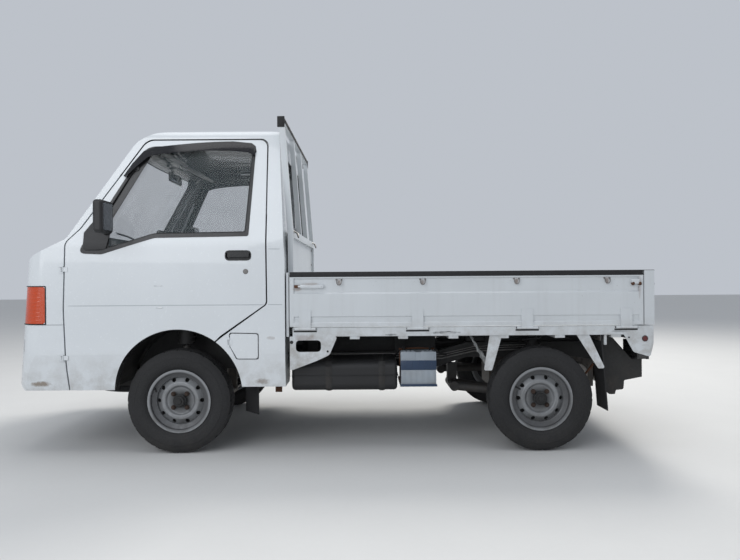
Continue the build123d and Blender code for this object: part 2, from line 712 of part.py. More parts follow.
def rail_bottom(x):
    """Height of the rail's underside at a place along the vehicle."""
    for (x0, z0), (x1, z1) in zip(RAIL_LINE, RAIL_LINE[1:]):
        if x1 <= x <= x0:
            return z0 + (z1 - z0) * (x - x0) / (x1 - x0)
    return RAIL_LINE[-1][1]


RAIL_OUT_Y = RAIL_Y + RAIL_W / 2
RAIL_IN_Y = RAIL_Y - RAIL_W / 2
CAB_SUPPORTS_X = (1300.0, 330.0)
BED_SUPPORTS_X = (120.0, -380.0, -900.0, -1480.0)
SUPPORT_W = 60.0
DECK_BEAM_Z = DECK_Z - DECK_T - 50.0
with BuildPart() as frame_rails:
    for y_low, y_high in sides((RAIL_IN_Y, RAIL_OUT_Y)):
        add(side_prism(rail_outline(), y_low, y_high))

with BuildPart() as frame_mounts:
    for y_low, y_high in sides((RAIL_IN_Y, RAIL_OUT_Y)):
        for x in CAB_SUPPORTS_X:
            top = FOOTWELL_Z - FLOOR if x > STEP_X else PLATFORM_Z - PLATFORM_T
            add(block((x - 30.0, x + 30.0), (y_low, y_high), (rail_bottom(x) + 20.0, top)))
        for x in BED_SUPPORTS_X:
            add(block((x - SUPPORT_W / 2, x + SUPPORT_W / 2), (y_low, y_high),
                      (rail_bottom(x) + 20.0, DECK_BEAM_Z)))
    add(frame_rails.part, mode=Mode.SUBTRACT)

with BuildPart() as frame_crossmembers:
    for x in CROSSMEMBERS_X:
        z = rail_bottom(x)
        add(block((x - 28.0, x + 28.0), (-RAIL_IN_Y, RAIL_IN_Y), (z + 8.0, z + RAIL_H - 8.0)))

# Rack housing, hung from the crossmember behind the front axle
RACK_HANGERS_Y = (130.0, 148.0)
with BuildPart() as rack_housing:
    for y_low, y_high in sides(RACK_HANGERS_Y):
        add(block((RACK_X - 22.0, RACK_X + 22.0), (y_low, y_high), (RACK_Z, rail_bottom(RACK_X) + 8.0)))
    add(rod((RACK_X, -190.0, RACK_Z), (RACK_X, 190.0, RACK_Z), RACK_HOUSING_R))
    add(rod((RACK_X, -200.0, RACK_Z), (RACK_X, 200.0, RACK_Z), RACK_R + RUN), mode=Mode.SUBTRACT)

# Front suspension: lower arms, struts and their pins
with BuildPart() as front_suspension:
    for side in (1, -1):
        y = side * KINGPIN_Y
        add(block((FRONT_AXLE_X - 20.0, FRONT_AXLE_X + 20.0), (side * RAIL_Y, y), (ARM_Z - 24.0, ARM_Z)))
        add(rod((FRONT_AXLE_X, y, ARM_Z - 24.0), (FRONT_AXLE_X, y, ARM_Z), 24.0))
        add(rod((FRONT_AXLE_X, y, ARM_Z - 2.0), (FRONT_AXLE_X, y, ARM_Z + 30.0), KNUCKLE_PIN_R))
        add(block((FRONT_AXLE_X - 35.0, FRONT_AXLE_X + 35.0), (side * RAIL_IN_Y, side * RAIL_OUT_Y),
                  (ARM_Z - 24.0, rail_bottom(FRONT_AXLE_X))))
        add(rod((FRONT_AXLE_X, y, KNUCKLE_TOP_Z - 48.0), (FRONT_AXLE_X, y, ARCH_Z + LINER_R - 0.4),
                KNUCKLE_PIN_R))
        add(rod((FRONT_AXLE_X, y, KNUCKLE_TOP_Z + 12.0), (FRONT_AXLE_X, y, ARCH_Z + LINER_R - 4.0),
                STRUT_R))
    add(block((FRONT_AXLE_X - 24.0, FRONT_AXLE_X + 24.0), (-RAIL_Y, RAIL_Y), (ARM_Z - 20.0, ARM_Z + 30.0)))

# Knuckles with their stub axles and steering arms
def knuckle(side):
    """Knuckle on its steering axis, with the stub for the wheel."""
    y = side * KINGPIN_Y
    with BuildPart(mode=Mode.PRIVATE) as piece:
        add(rod((FRONT_AXLE_X, y, ARM_Z + 5.0), (FRONT_AXLE_X, y, KNUCKLE_TOP_Z), KNUCKLE_R))
        add(rod((FRONT_AXLE_X, y, TYRE_R), (FRONT_AXLE_X, side * (WHEEL_Y - DRUM_W - 8.0), TYRE_R), 34.0))
        add(rod((FRONT_AXLE_X, y, TYRE_R), (FRONT_AXLE_X, side * (WHEEL_Y + STUB_END_Y), TYRE_R), STUB_R))
        add(block((FRONT_AXLE_X - STEERING_ARM, FRONT_AXLE_X), (y - 11.0, y + 11.0),
                  (STEERING_ARM_Z, STEERING_ARM_Z + 18.0)))
        add(rod((FRONT_AXLE_X - STEERING_ARM, y, STEERING_ARM_Z),
                (FRONT_AXLE_X - STEERING_ARM, y, STEERING_ARM_Z + 18.0), 15.0))
        for z_low, z_high in ((ARM_Z, ARM_Z + 34.0), (KNUCKLE_TOP_Z - 52.0, KNUCKLE_TOP_Z + 5.0)):
            add(rod((FRONT_AXLE_X, y, z_low), (FRONT_AXLE_X, y, z_high), KNUCKLE_PIN_R + RUN),
                mode=Mode.SUBTRACT)
    return piece.part


with BuildPart() as knuckle_left:
    add(knuckle(1))
with BuildPart() as knuckle_right:
    add(knuckle(-1))

# Steering rack: the bar slides through its housing, its ends lie under the steering arms
with BuildPart() as steering_rack:
    add(rod((RACK_X, -KINGPIN_Y, RACK_Z), (RACK_X, KINGPIN_Y, RACK_Z), RACK_R))

# Rear axle: trailing arms, hubs and springs
ARM_PIVOT_X = REAR_AXLE_X + 420.0
ARM_PIVOT_Z = 300.0
with BuildPart() as rear_suspension:
    for side in (1, -1):
        for x0, y0, x1, y1 in (
            (ARM_PIVOT_X, 430.0, REAR_AXLE_X, 540.0),
            (ARM_PIVOT_X, 300.0, REAR_AXLE_X, 528.0),
        ):
            add(rod((x0, side * y0, ARM_PIVOT_Z), (x1, side * y1, TYRE_R), 24.0))
        add(rod((ARM_PIVOT_X, side * 230.0, ARM_PIVOT_Z), (ARM_PIVOT_X, side * 460.0, ARM_PIVOT_Z), 26.0))
        add(block((ARM_PIVOT_X - 26.0, ARM_PIVOT_X + 26.0), (side * RAIL_IN_Y, side * RAIL_OUT_Y),
                  (ARM_PIVOT_Z, rail_bottom(ARM_PIVOT_X + 26.0))))
        add(rod((REAR_AXLE_X, side * 470.0, TYRE_R), (REAR_AXLE_X, side * (WHEEL_Y - DRUM_W - 8.0), TYRE_R), 46.0))
        add(rod((REAR_AXLE_X, side * 470.0, TYRE_R), (REAR_AXLE_X, side * (WHEEL_Y + STUB_END_Y), TYRE_R), STUB_R))
        add(rod((REAR_AXLE_X, side * 500.0, TYRE_R), (REAR_AXLE_X, side * 500.0, DECK_BEAM_Z), 26.0))

# Bed deck: floor plate, side and rear sills, beams and skirts
DECK_FRONT_X = HEADBOARD_X[0]
DECK_REAR_X = TAILGATE_X - TAILGATE_T + 4.0
SKIRT_T = 3.0
FRONT_SKIRT = (
    (GATE_FRONT_X, SILL_BOTTOM_Z + 1.0, 0.0),
    (-41.0, SILL_BOTTOM_Z + 1.0, 10.0),
    (0.0, 510.0, 30.0),
    (68.0, 479.0, 20.0),
    (GATE_FRONT_X, 428.0, 10.0),
)
SKIRT_SLOT = ((109.0, 556.0), 130.0, 60.0)
REAR_SKIRT = (
    (-1518.0, SILL_BOTTOM_Z + 1.0, 0.0),
    (-1569.0, 514.0, 20.0),
    (-1655.0, 489.0, 10.0),
    (DECK_REAR_X, 560.0, 0.0),
    (DECK_REAR_X, SILL_BOTTOM_Z + 1.0, 0.0),
)
FENDER_STAYS = (
    # top front, top rear, bottom rear, bottom front along X, then bottom height
    (-828.0, -892.0, -839.0, -797.0, 423.0),
    (-1276.0, -1342.0, -1424.0, -1388.0, 430.0),
)
STAY_Y = 716.0
DECK_Y = GATE_Y - GATE_T - SEAM
PIN_RECESS = 6.5
REAR_PLATE_Z = 596.0
BEAMS_X = (120.0, -130.0, -380.0, -640.0, -900.0, -1190.0, -1480.0)


def gate_pins(centre_x):
    """Pin and its two ears for one side gate hinge, on the left sill."""
    half = HINGE_EYE_L / 2 + 1.0
    pin = rod((centre_x - half - HINGE_EAR_L, HINGE_Y, HINGE_Z),
              (centre_x + half + HINGE_EAR_L, HINGE_Y, HINGE_Z), HINGE_PIN_R)
    for x in (centre_x - half - HINGE_EAR_L, centre_x + half):
        pin = pin + rod((x, HINGE_Y, HINGE_Z), (x + HINGE_EAR_L, HINGE_Y, HINGE_Z), HINGE_EYE_R)
        pin = pin + block((x, x + HINGE_EAR_L), (SILL_Y - 2.0, HINGE_Y),
                          (HINGE_Z - HINGE_EYE_R, HINGE_Z + HINGE_EYE_R))
    return pin


def tail_pins(centre_y):
    """Pin and its two ears for one tailgate hinge, on the rear sill."""
    half = HINGE_EYE_L / 2 + 1.0
    pin = rod((TAIL_HINGE_X, centre_y - half - HINGE_EAR_L, HINGE_Z),
              (TAIL_HINGE_X, centre_y + half + HINGE_EAR_L, HINGE_Z), HINGE_PIN_R)
    for y in (centre_y - half - HINGE_EAR_L, centre_y + half):
        pin = pin + rod((TAIL_HINGE_X, y, HINGE_Z), (TAIL_HINGE_X, y + HINGE_EAR_L, HINGE_Z), HINGE_EYE_R)
        pin = pin + block((TAIL_HINGE_X, DECK_REAR_X + 2.0), (y, y + HINGE_EAR_L),
                          (HINGE_Z - HINGE_EYE_R, HINGE_Z + HINGE_EYE_R))
    return pin


with BuildPart() as bed_deck:
    add(block((DECK_REAR_X, DECK_FRONT_X), (-SILL_Y + 2.0, SILL_Y - 2.0), (DECK_Z - DECK_T, DECK_Z)))
    for y_low, y_high in sides((SILL_Y - SILL_T, SILL_Y)):
        add(block((DECK_REAR_X, DECK_FRONT_X), (y_low, y_high), (SILL_BOTTOM_Z, DECK_Z)))
    add(block((DECK_REAR_X, DECK_REAR_X + SILL_T), (-SILL_Y, SILL_Y), (560.0, DECK_Z)))
    add(block((DECK_FRONT_X - SILL_T, DECK_FRONT_X), (-SILL_Y, SILL_Y), (SILL_BOTTOM_Z, DECK_Z)))
    for x in BEAMS_X:
        add(block((x - 25.0, x + 25.0), (-SILL_Y + 4.0, SILL_Y - 4.0), (DECK_BEAM_Z, DECK_Z - DECK_T + 1.0)))
    for y_low, y_high in sides((SILL_Y - SKIRT_T, SILL_Y)):
        (slot_x, slot_z), slot_l, slot_h = SKIRT_SLOT
        with BuildPart(mode=Mode.PRIVATE) as skirt:
            add(side_prism(FRONT_SKIRT, y_low, y_high))
            with BuildSketch(Plane.XZ.offset(-y_high)):
                with Locations((slot_x, slot_z)):
                    RectangleRounded(slot_l, slot_h, 20.0)
            extrude(amount=y_high - y_low, mode=Mode.SUBTRACT)
        add(skirt.part)
        add(side_prism(REAR_SKIRT, y_low, y_high))
    for top_front, top_rear, low_rear, low_front, low_z in FENDER_STAYS:
        for y_low, y_high in sides((STAY_Y - SKIRT_T, STAY_Y)):
            add(side_prism(((top_front, SILL_BOTTOM_Z + 1.0, 0.0), (top_rear, SILL_BOTTOM_Z + 1.0, 0.0),
                            (low_rear, low_z, 8.0), (low_front, low_z, 8.0)), y_low, y_high))
    half = HINGE_EYE_L / 2 + 1.0 + HINGE_EAR_L
    for x in GATE_HINGES_X:
        for y_low, y_high in sides((HINGE_Y - HINGE_EYE_R - PIN_RECESS, WIDTH)):
            add(block((x - HINGE_EYE_L / 2 - 1.0, x + HINGE_EYE_L / 2 + 1.0), (y_low, y_high),
                      (HINGE_Z - HINGE_EYE_R - PIN_RECESS, DECK_Z + 1.0)), mode=Mode.SUBTRACT)
        pins = gate_pins(x)
        add(pins)
        add(mirror(pins, about=Plane.XZ, mode=Mode.PRIVATE))
    for y in TAIL_HINGES_Y:
        add(block((LENGTH * -1.0, TAIL_HINGE_X + HINGE_EYE_R + PIN_RECESS),
                  (y - HINGE_EYE_L / 2 - 1.0, y + HINGE_EYE_L / 2 + 1.0),
                  (HINGE_Z - HINGE_EYE_R - PIN_RECESS, DECK_Z + 1.0)), mode=Mode.SUBTRACT)
        add(tail_pins(y))
    for y in (PLATE_HOLES_Y, -PLATE_HOLES_Y):
        add(rod((-LENGTH, y, REAR_PLATE_Z), (DECK_REAR_X + SILL_T, y, REAR_PLATE_Z), PLATE_HOLE_R),
            mode=Mode.SUBTRACT)

# Headboard behind the cab, with a post at each end of the side gates
with BuildPart() as headboard:
    x0, x1 = HEADBOARD_X
    add(block((x0, x1 - 8.0), (-DECK_Y, DECK_Y), (DECK_Z, GATE_TOP_Z)))
    for y_low, y_high in sides((DECK_Y - 20.0, SILL_Y)):
        add(block((GATE_FRONT_X + SEAM, x1), (y_low, y_high), (SILL_BOTTOM_Z, GATE_TOP_Z)))

# Guard frame: panel, posts, bars and the top bar
GUARD_BARS = (
    # Y range, Z range
    ((-GUARD_HALF_W, GUARD_HALF_W), (GATE_TOP_Z, GUARD_PANEL_Z)),
    ((-GUARD_HALF_W, GUARD_HALF_W), (GUARD_PANEL_Z - 20.0, GUARD_PANEL_Z + 20.0)),
    ((-GUARD_HALF_W, GUARD_HALF_W), (GUARD_TOP_Z - 34.0, GUARD_TOP_Z)),
    ((GUARD_HALF_W - 40.0, GUARD_HALF_W), (GATE_TOP_Z, GUARD_TOP_Z)),
    ((-GUARD_HALF_W, 40.0 - GUARD_HALF_W), (GATE_TOP_Z, GUARD_TOP_Z)),
    ((170.0, 205.0), (GUARD_PANEL_Z, GUARD_TOP_Z)),
    ((-205.0, -170.0), (GUARD_PANEL_Z, GUARD_TOP_Z)),
)


def guard_x(z):
    """Front face of the guard frame at a height: it leans forward above the panel."""
    return GUARD_FRONT_X + max(z - GUARD_PANEL_Z, 0.0) * GUARD_SLOPE


with BuildPart() as guard_frame:
    for y_range, (z_low, z_high) in GUARD_BARS:
        depth = 14.0 if z_high == GUARD_PANEL_Z else GUARD_T
        cut = [z_low] + ([GUARD_PANEL_Z] if z_low < GUARD_PANEL_Z < z_high else []) + [z_high]
        front = [(guard_x(z), z, 0.0) for z in cut]
        rear = [(guard_x(z) - depth, z, 0.0) for z in reversed(cut)]
        add(side_prism(front + rear, *y_range))

# Gates
SIDE_GATE_SECTION = (
    # Y, Z, corner radius
    (GATE_Y, GATE_BOTTOM_Z, 0.0),
    (GATE_Y, 674.0, 1.0),
    (GATE_Y - 5.0, 679.0, 1.0),
    (GATE_Y - 5.0, 704.0, 1.0),
    (GATE_Y, 709.0, 1.0),
    (GATE_Y, 824.0, 1.0),
    (GATE_Y - 7.0, 832.0, 1.0),
    (GATE_Y - 7.0, 900.0, 1.0),
    (GATE_Y, 906.0, 2.0),
    (GATE_Y, GATE_TOP_Z, 4.0),
    (GATE_Y - GATE_T, GATE_TOP_Z, 4.0),
    (GATE_Y - GATE_T, GATE_BOTTOM_Z, 0.0),
)


def eye_bore(start, end):
    """Clearance bore of a hinge eye."""
    return rod(start, end, HINGE_PIN_R + RUN)


with BuildPart() as side_gate_left:
    add(front_prism(SIDE_GATE_SECTION, GATE_REAR_X, GATE_FRONT_X))
    # raised ends and the pressed frame round the panel
    for x_low, x_high in ((GATE_FRONT_X - 22.0, GATE_FRONT_X), (GATE_REAR_X, GATE_REAR_X + 22.0)):
        add(block((x_low, x_high), (GATE_Y - 20.0, GATE_Y), (GATE_BOTTOM_Z, GATE_TOP_Z - 6.0)))
    add(block((31.0, 149.0), (GATE_Y - 8.0, GATE_Y + 7.0), (855.0, 871.0)))
    add(block((GATE_REAR_X + 10.0, GATE_REAR_X + 60.0), (GATE_Y - 8.0, GATE_Y + 6.0), (868.0, 890.0)))
    for x in GATE_HINGES_X:
        x0, x1 = x - HINGE_EYE_L / 2, x + HINGE_EYE_L / 2
        add(rod((x0, HINGE_Y, HINGE_Z), (x1, HINGE_Y, HINGE_Z), HINGE_EYE_R))
        add(block((x0, x1), (GATE_Y - 2.0, HINGE_Y + 2.0), (HINGE_Z, 700.0)))
        add(block((x0, x1), (GATE_Y - 3.0, GATE_Y + 4.0), (700.0, 742.0)))
        add(eye_bore((x0 - 1.0, HINGE_Y, HINGE_Z), (x1 + 1.0, HINGE_Y, HINGE_Z)), mode=Mode.SUBTRACT)

with BuildPart() as side_gate_right:
    add(mirror(side_gate_left.part, about=Plane.XZ))

TAIL_HALF_W = GATE_Y
with BuildPart() as tail_gate:
    section = [(TAILGATE_X - TAILGATE_T + GATE_Y - y, z, r) for y, z, r in SIDE_GATE_SECTION[:-2]]
    section += [(TAILGATE_X, GATE_TOP_Z, 4.0), (TAILGATE_X, GATE_BOTTOM_Z, 0.0)]
    add(side_prism(section, -TAIL_HALF_W, TAIL_HALF_W))
    for y_low, y_high in sides((TAIL_HALF_W - 22.0, TAIL_HALF_W)):
        add(block((TAILGATE_X - TAILGATE_T, TAILGATE_X - 10.0), (y_low, y_high),
                  (GATE_BOTTOM_Z, GATE_TOP_Z - 6.0)))
    for y_low, y_high in sides((600.0, 640.0)):
        add(block((-FRONT_END_X, TAILGATE_X - 30.0), (y_low, y_high), (836.0, 896.0)))
    for y in TAIL_HINGES_Y:
        y0, y1 = y - HINGE_EYE_L / 2, y + HINGE_EYE_L / 2
        add(rod((TAIL_HINGE_X, y0, HINGE_Z), (TAIL_HINGE_X, y1, HINGE_Z), HINGE_EYE_R))
        add(block((TAIL_HINGE_X - 2.0, TAIL_HINGE_X + 6.0), (y0, y1), (HINGE_Z, 700.0)))
        add(eye_bore((TAIL_HINGE_X, y0 - 1.0, HINGE_Z), (TAIL_HINGE_X, y1 + 1.0, HINGE_Z)),
            mode=Mode.SUBTRACT)

# Tail lamps on the rear sill's ends
with BuildPart() as tail_lamps:
    for side in (1, -1):
        add(block((DECK_REAR_X, DECK_REAR_X + 60.0), (side * 470.0, side * 660.0), (470.0, 560.0)))

# Engine with its gearbox and half shafts
with BuildPart() as powertrain:
    add(block((-1520.0, -1190.0), (-250.0, 250.0), (262.0, 520.0)))
    add(block((-1200.0, -930.0), (-130.0, 130.0), (250.0, 430.0)))
    for side in (1, -1):
        add(rod((REAR_AXLE_X, side * 100.0, TYRE_R), (REAR_AXLE_X, side * 470.0, TYRE_R), 15.0))
    for y_low, y_high in sides((200.0, RAIL_IN_Y)):
        add(block((-1420.0, -1340.0), (y_low, y_high), (470.0, 500.0)))

with BuildPart() as exhaust:
    add(rod((-1585.0, -240.0, 320.0), (-1585.0, 240.0, 320.0), 48.0))
    add(rod((-1600.0, -200.0, 310.0), (-1690.0, -200.0, 296.0), 18.0))
    add(rod((-1585.0, 150.0, 320.0), (-1520.0, 150.0, 320.0), 18.0))

# Fuel tank and battery on the left rail
TANK_X = (205.0, -352.0)
TANK_Y = (RAIL_OUT_Y, 655.0)
TANK_Z = (312.0, 470.0)
with BuildPart() as fuel_tank:
    add(block(TANK_X, TANK_Y, TANK_Z))
    fillet(fuel_tank.edges().filter_by(Axis.X), 40.0)
    fillet(fuel_tank.faces().filter_by(Axis.X).edges(), 18.0)

BATTERY_X = (-371.0, -555.0)
BATTERY_Y = (540.0, 668.0)
BATTERY_Z = (343.0, 515.0)
with BuildPart() as battery:
    add(block(BATTERY_X, BATTERY_Y, BATTERY_Z))
    add(block((BATTERY_X[0] + 5.0, BATTERY_X[1] - 5.0), (RAIL_OUT_Y, BATTERY_Y[1] + 8.0),
              (BATTERY_Z[0] - 8.0, BATTERY_Z[0])))
    add(block((BATTERY_X[0] - 60.0, BATTERY_X[0] - 130.0), (RAIL_OUT_Y, BATTERY_Y[0] + 2.0),
              (BATTERY_Z[0] - 8.0, 440.0)))

# Rear bumper: a box beam on two arms, with a plate at each end
REAR_BEAM_X = (-1661.0, -1618.0)
REAR_BEAM_Z = (368.0, 464.0)
REAR_END_PLATE = (
    (-1605.0, 464.0, 6.0),
    (-1661.0, 464.0, 6.0),
    (-1661.0, 368.0, 6.0),
    (-1566.0, 350.0, 8.0),
    (-1562.0, 302.0, 12.0),
    (-1522.0, 298.0, 6.0),
    (-1516.0, 276.0, 6.0),
    (-1486.0, 276.0, 8.0),
    (-1452.0, 306.0, 10.0),
    (-1452.0, 585.0, 4.0),
    (-1500.0, 585.0, 10.0),
)
with BuildPart() as rear_bumper:
    add(block(REAR_BEAM_X, (-602.0, 602.0), REAR_BEAM_Z))
    for side in (1, -1):
        add(block((REAR_BEAM_X[1] - 2.0, -1535.0), (side * RAIL_OUT_Y, side * 420.0), (424.0, 460.0)))
        add(block((-1580.0, -1535.0), (side * RAIL_OUT_Y, side * 598.0), (424.0, 460.0)))
    for y_low, y_high in sides((594.0, 602.0)):
        add(side_prism(REAR_END_PLATE, y_low, y_high))

# Splash guards: the front ones stand slanted in plan
FRONT_FLAP_X = (376.0, 464.0)
FRONT_FLAP_Y = (668.0, 566.0)
FLAP_T = 6.0
FRONT_FLAP_TOP_Z = BODY_BOTTOM + 12.0 - FIT
REAR_FLAP_TOP_Z = SILL_BOTTOM_Z - FIT
with BuildPart() as splash_guards:
    (x0, x1), (y0, y1) = FRONT_FLAP_X, FRONT_FLAP_Y
    for side in (1, -1):
        add(plan_prism([(x0, side * y0, 0.0), (x1, side * y1, 0.0), (x1, side * (y1 - FLAP_T * 1.5), 0.0),
                        (x0, side * (y0 - FLAP_T * 1.5), 0.0)][::side], 193.0, FRONT_FLAP_TOP_Z))
    for y_low, y_high in sides((560.0, 712.0)):
        add(side_prism(((-1404.0, REAR_FLAP_TOP_Z, 0.0), (-1410.0, REAR_FLAP_TOP_Z, 0.0),
                        (-1440.0, 210.0, 0.0), (-1434.0, 210.0, 0.0)), y_low, y_high))

# Wheels
TYRE_SECTION = (
    # radius, across the wheel, corner radius
    (BEAD_R + FIT, 44.0, 0.0),
    (BEAD_R + FIT, RIM_HALF_W - 5.4, 4.0),
    (FLANGE_R + 2.0, RIM_HALF_W - 5.4, 3.0),
    (FLANGE_R + 8.0, TYRE_W / 2 - 10.0, 8.0),
    (213.0, TYRE_W / 2, 60.0),
    (250.0, TYRE_W / 2 - 7.0, 30.0),
    (TYRE_R - 4.0, TYRE_W / 2 - 20.0, 8.0),
    (TYRE_R, 30.0, 40.0),
)
TYRE_INSIDE = (
    (TYRE_R - 13.0, TYRE_W / 2 - 26.0, 12.0),
    (213.0, TYRE_W / 2 - 11.0, 40.0),
    (FLANGE_R + 8.0, 46.0, 8.0),
)


def tyre():
    """Tyre round the origin, turning about Y, with an open inside closed by the rim."""
    table = list(TYRE_SECTION) + [(r, -y, c) for r, y, c in reversed(TYRE_SECTION)]
    table += [(r, -y, c) for r, y, c in reversed(TYRE_INSIDE)]
    table += TYRE_INSIDE
    return turned(table)


RIM_SECTION = (
    (FLANGE_R, RIM_HALF_W, 0.0),
    (FLANGE_R, RIM_HALF_W - RIM_WALL, 2.0),
    (BEAD_R, RIM_HALF_W - RIM_WALL, 3.0),
    (BEAD_R, 34.0, 4.0),
    (WELL_R, 24.0, 8.0),
    (WELL_R, -24.0, 8.0),
    (BEAD_R, -34.0, 4.0),
    (BEAD_R, RIM_WALL - RIM_HALF_W, 3.0),
    (FLANGE_R, RIM_WALL - RIM_HALF_W, 2.0),
    (FLANGE_R, -RIM_HALF_W, 0.0),
    (BEAD_R - RIM_WALL, -RIM_HALF_W, 4.0),
    (BEAD_R - RIM_WALL, -38.0, 4.0),
    (WELL_R - RIM_WALL, -28.0, 8.0),
    (WELL_R - RIM_WALL, 28.0, 8.0),
    (BEAD_R - RIM_WALL, 38.0, 4.0),
    (BEAD_R - RIM_WALL, RIM_HALF_W, 4.0),
)
DISC_SECTION = (
    (WELL_R - 2.0, 2.0, 0.0),
    (WELL_R - 2.0, 12.0, 0.0),
    (120.0, 14.0, 5.0),
    (96.0, 32.0, 8.0),
    (80.0, 32.0, 8.0),
    (70.0, 22.0, 6.0),
    (0.0, 22.0, 0.0),
    (0.0, 15.0, 0.0),
    (72.0, 15.0, 6.0),
    (82.0, 25.0, 8.0),
    (94.0, 25.0, 8.0),
    (116.0, 7.0, 5.0),
    (118.0, 2.0, 0.0),
)


def rim():
    """Rim round the origin with its disc towards +Y: vents, drum and hub."""
    with BuildPart(mode=Mode.PRIVATE) as wheel:
        add(turned(RIM_SECTION))
        add(turned(DISC_SECTION))
        add(rod((0, -DRUM_W, 0), (0, 16.0, 0), 88.0))
        add(rod((0, 20.0, 0), (0, 46.0, 0), HUB_R))
        with BuildSketch(Plane.XZ.offset(-60.0)):
            with PolarLocations(VENT_PITCH_R, VENT_COUNT):
                Circle(VENT_R)
        extrude(amount=62.0, mode=Mode.SUBTRACT)
        with BuildSketch(Plane.XZ.offset(-34.0)):
            with PolarLocations(NUT_PITCH_R, NUT_COUNT, start_angle=45.0):
                RegularPolygon(NUT_R, 6)
        extrude(amount=14.0)
        add(rod((0, -DRUM_W - 1.0, 0), (0, STUB_END_Y + 0.5, 0), STUB_R + RUN),
            mode=Mode.SUBTRACT)
    return wheel.part


wheel_tyre = tyre()
wheel_rim = rim()
WHEELS = (
    # name, X, side
    ("front_left", FRONT_AXLE_X, 1),
    ("front_right", FRONT_AXLE_X, -1),
    ("rear_left", REAR_AXLE_X, 1),
    ("rear_right", REAR_AXLE_X, -1),
)


def placed(piece, x, side):
    """Wheel part at one corner of the vehicle, its disc facing outwards."""
    turned_part = piece if side > 0 else Rot(0, 0, 180) * piece
    return Pos(x, side * WHEEL_Y, TYRE_R) * turned_part


# Spare wheel, flat under the footwell and hung from it
spare_place = Pos(SPARE_X, 0, SPARE_Z) * Rot(90, 0, 0)
with BuildPart() as spare_tyre:
    add(spare_place * wheel_tyre)
with BuildPart() as spare_rim:
    add(spare_place * wheel_rim)
    add(rod((SPARE_X, 0, SPARE_Z - 60.0), (SPARE_X, 0, SPARE_Z + 60.0), 9.0 + FIT), mode=Mode.SUBTRACT)

ASSEMBLY = {
    "frame_rails": frame_rails.part,
    "frame_mounts": frame_mounts.part,
    "frame_crossmembers": frame_crossmembers.part,
    "front_suspension": front_suspension.part,
    "rack_housing": rack_housing.part,
    "cab_floor": cab_floor.part,
    "cab_front": cab_front.part,
    "front_bumper": front_bumper.part,
    "cab_roof": cab_roof.part,
    "cab_back": cab_back.part,
    "cab_side_left": cab_side_left.part,
    "cab_side_right": cab_side_right.part,
    "windscreen": windscreen.part,
    "rear_window": rear_window.part,
    "headlamps": headlamps.part,
    "turn_lamps": turn_lamps.part,
    "dashboard": dashboard.part,
    "steering_wheel": steering_wheel.part,
    "seats": seats.part,
    "door_left": door_left.part,
    "door_right": door_right.part,
    "door_glass_left": door_glass_left.part,
    "door_glass_right": door_glass_right.part,
    "mirror_left": mirror_left.part,
    "mirror_right": mirror_right.part,
    "fuel_lid": fuel_lid.part,
    "bed_deck": bed_deck.part,
    "headboard": headboard.part,
    "guard_frame": guard_frame.part,
    "side_gate_left": side_gate_left.part,
    "side_gate_right": side_gate_right.part,
    "tail_gate": tail_gate.part,
    "tail_lamps": tail_lamps.part,
    "powertrain": powertrain.part,
    "exhaust": exhaust.part,
    "fuel_tank": fuel_tank.part,
    "battery": battery.part,
    "rear_bumper": rear_bumper.part,
    "splash_guards": splash_guards.part,
    "rear_suspension": rear_suspension.part,
    "knuckle_left": knuckle_left.part,
    "knuckle_right": knuckle_right.part,
    "steering_rack": steering_rack.part,
    "spare_tyre": spare_tyre.part,
    "spare_rim": spare_rim.part,
}
for name, x, side in WHEELS:
    ASSEMBLY[f"tyre_{name}"] = placed(wheel_tyre, x, side)
    ASSEMBLY[f"rim_{name}"] = placed(wheel_rim, x, side)

for name, piece in ASSEMBLY.items():
    piece.label = name
    print(name, piece.is_valid, len(piece.solids()), round(piece.volume / 1e6, 2),
          [round(v) for v in (*piece.bounding_box().min, *piece.bounding_box().max)])
    export_step(piece, f"parts/{name}.step")
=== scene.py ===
from math import cos, exp, pi, radians, sin, sqrt

import bmesh
import bpy
from mathutils import Matrix, Vector


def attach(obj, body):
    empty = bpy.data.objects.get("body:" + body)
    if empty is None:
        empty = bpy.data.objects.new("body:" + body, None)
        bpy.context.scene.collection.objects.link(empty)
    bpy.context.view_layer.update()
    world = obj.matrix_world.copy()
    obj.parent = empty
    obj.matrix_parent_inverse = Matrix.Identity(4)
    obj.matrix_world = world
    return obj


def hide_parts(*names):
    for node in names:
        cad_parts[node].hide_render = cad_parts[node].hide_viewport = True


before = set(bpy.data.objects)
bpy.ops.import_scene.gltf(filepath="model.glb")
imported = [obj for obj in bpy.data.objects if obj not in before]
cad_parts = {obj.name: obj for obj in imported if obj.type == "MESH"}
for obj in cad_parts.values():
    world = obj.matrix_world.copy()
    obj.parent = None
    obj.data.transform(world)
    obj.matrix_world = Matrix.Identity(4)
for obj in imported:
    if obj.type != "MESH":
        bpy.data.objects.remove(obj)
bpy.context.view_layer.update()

# Sizes shared with the solids, in metres
FRONT_END_X = 1.6975
FRONT_AXLE_X = 0.7875
REAR_AXLE_X = -1.0975
WHEEL_Y = 0.64
TYRE_R = 0.27
HALF_WIDTH = 0.7375
ARCH_X = 0.7825
ARCH_Z = 0.318
ARCH_R = 0.328
BOW_R = 3.8
BOW_AXIS_X = FRONT_END_X - BOW_R
FRONT_CURVE = (
    # behind the front end, height
    (-0.0012, 0.39), (0.044, 1.008), (0.268, 1.118), (0.612, 1.64), (0.7, 1.688), (0.85, 1.712),
)
SECTION = ((0.712, 0.298), (0.7375, 0.52), (0.7375, 1.09), (0.6, 1.7))
SECTION_BEND = (1.0722, 1.1076, 0.16)
WINDSCREEN = ((0.655, 1.16, 0.06), (0.565, 1.6, 0.075))
REAR_WINDOW = ((0.47, 1.17, 0.045), (0.445, 1.57, 0.06))
GATE_Y = 0.728
GATE_T = 0.042
GATE_X = (-1.619, 0.205)
GATE_TOP_Z = 0.936
TAIL_X = -1.676
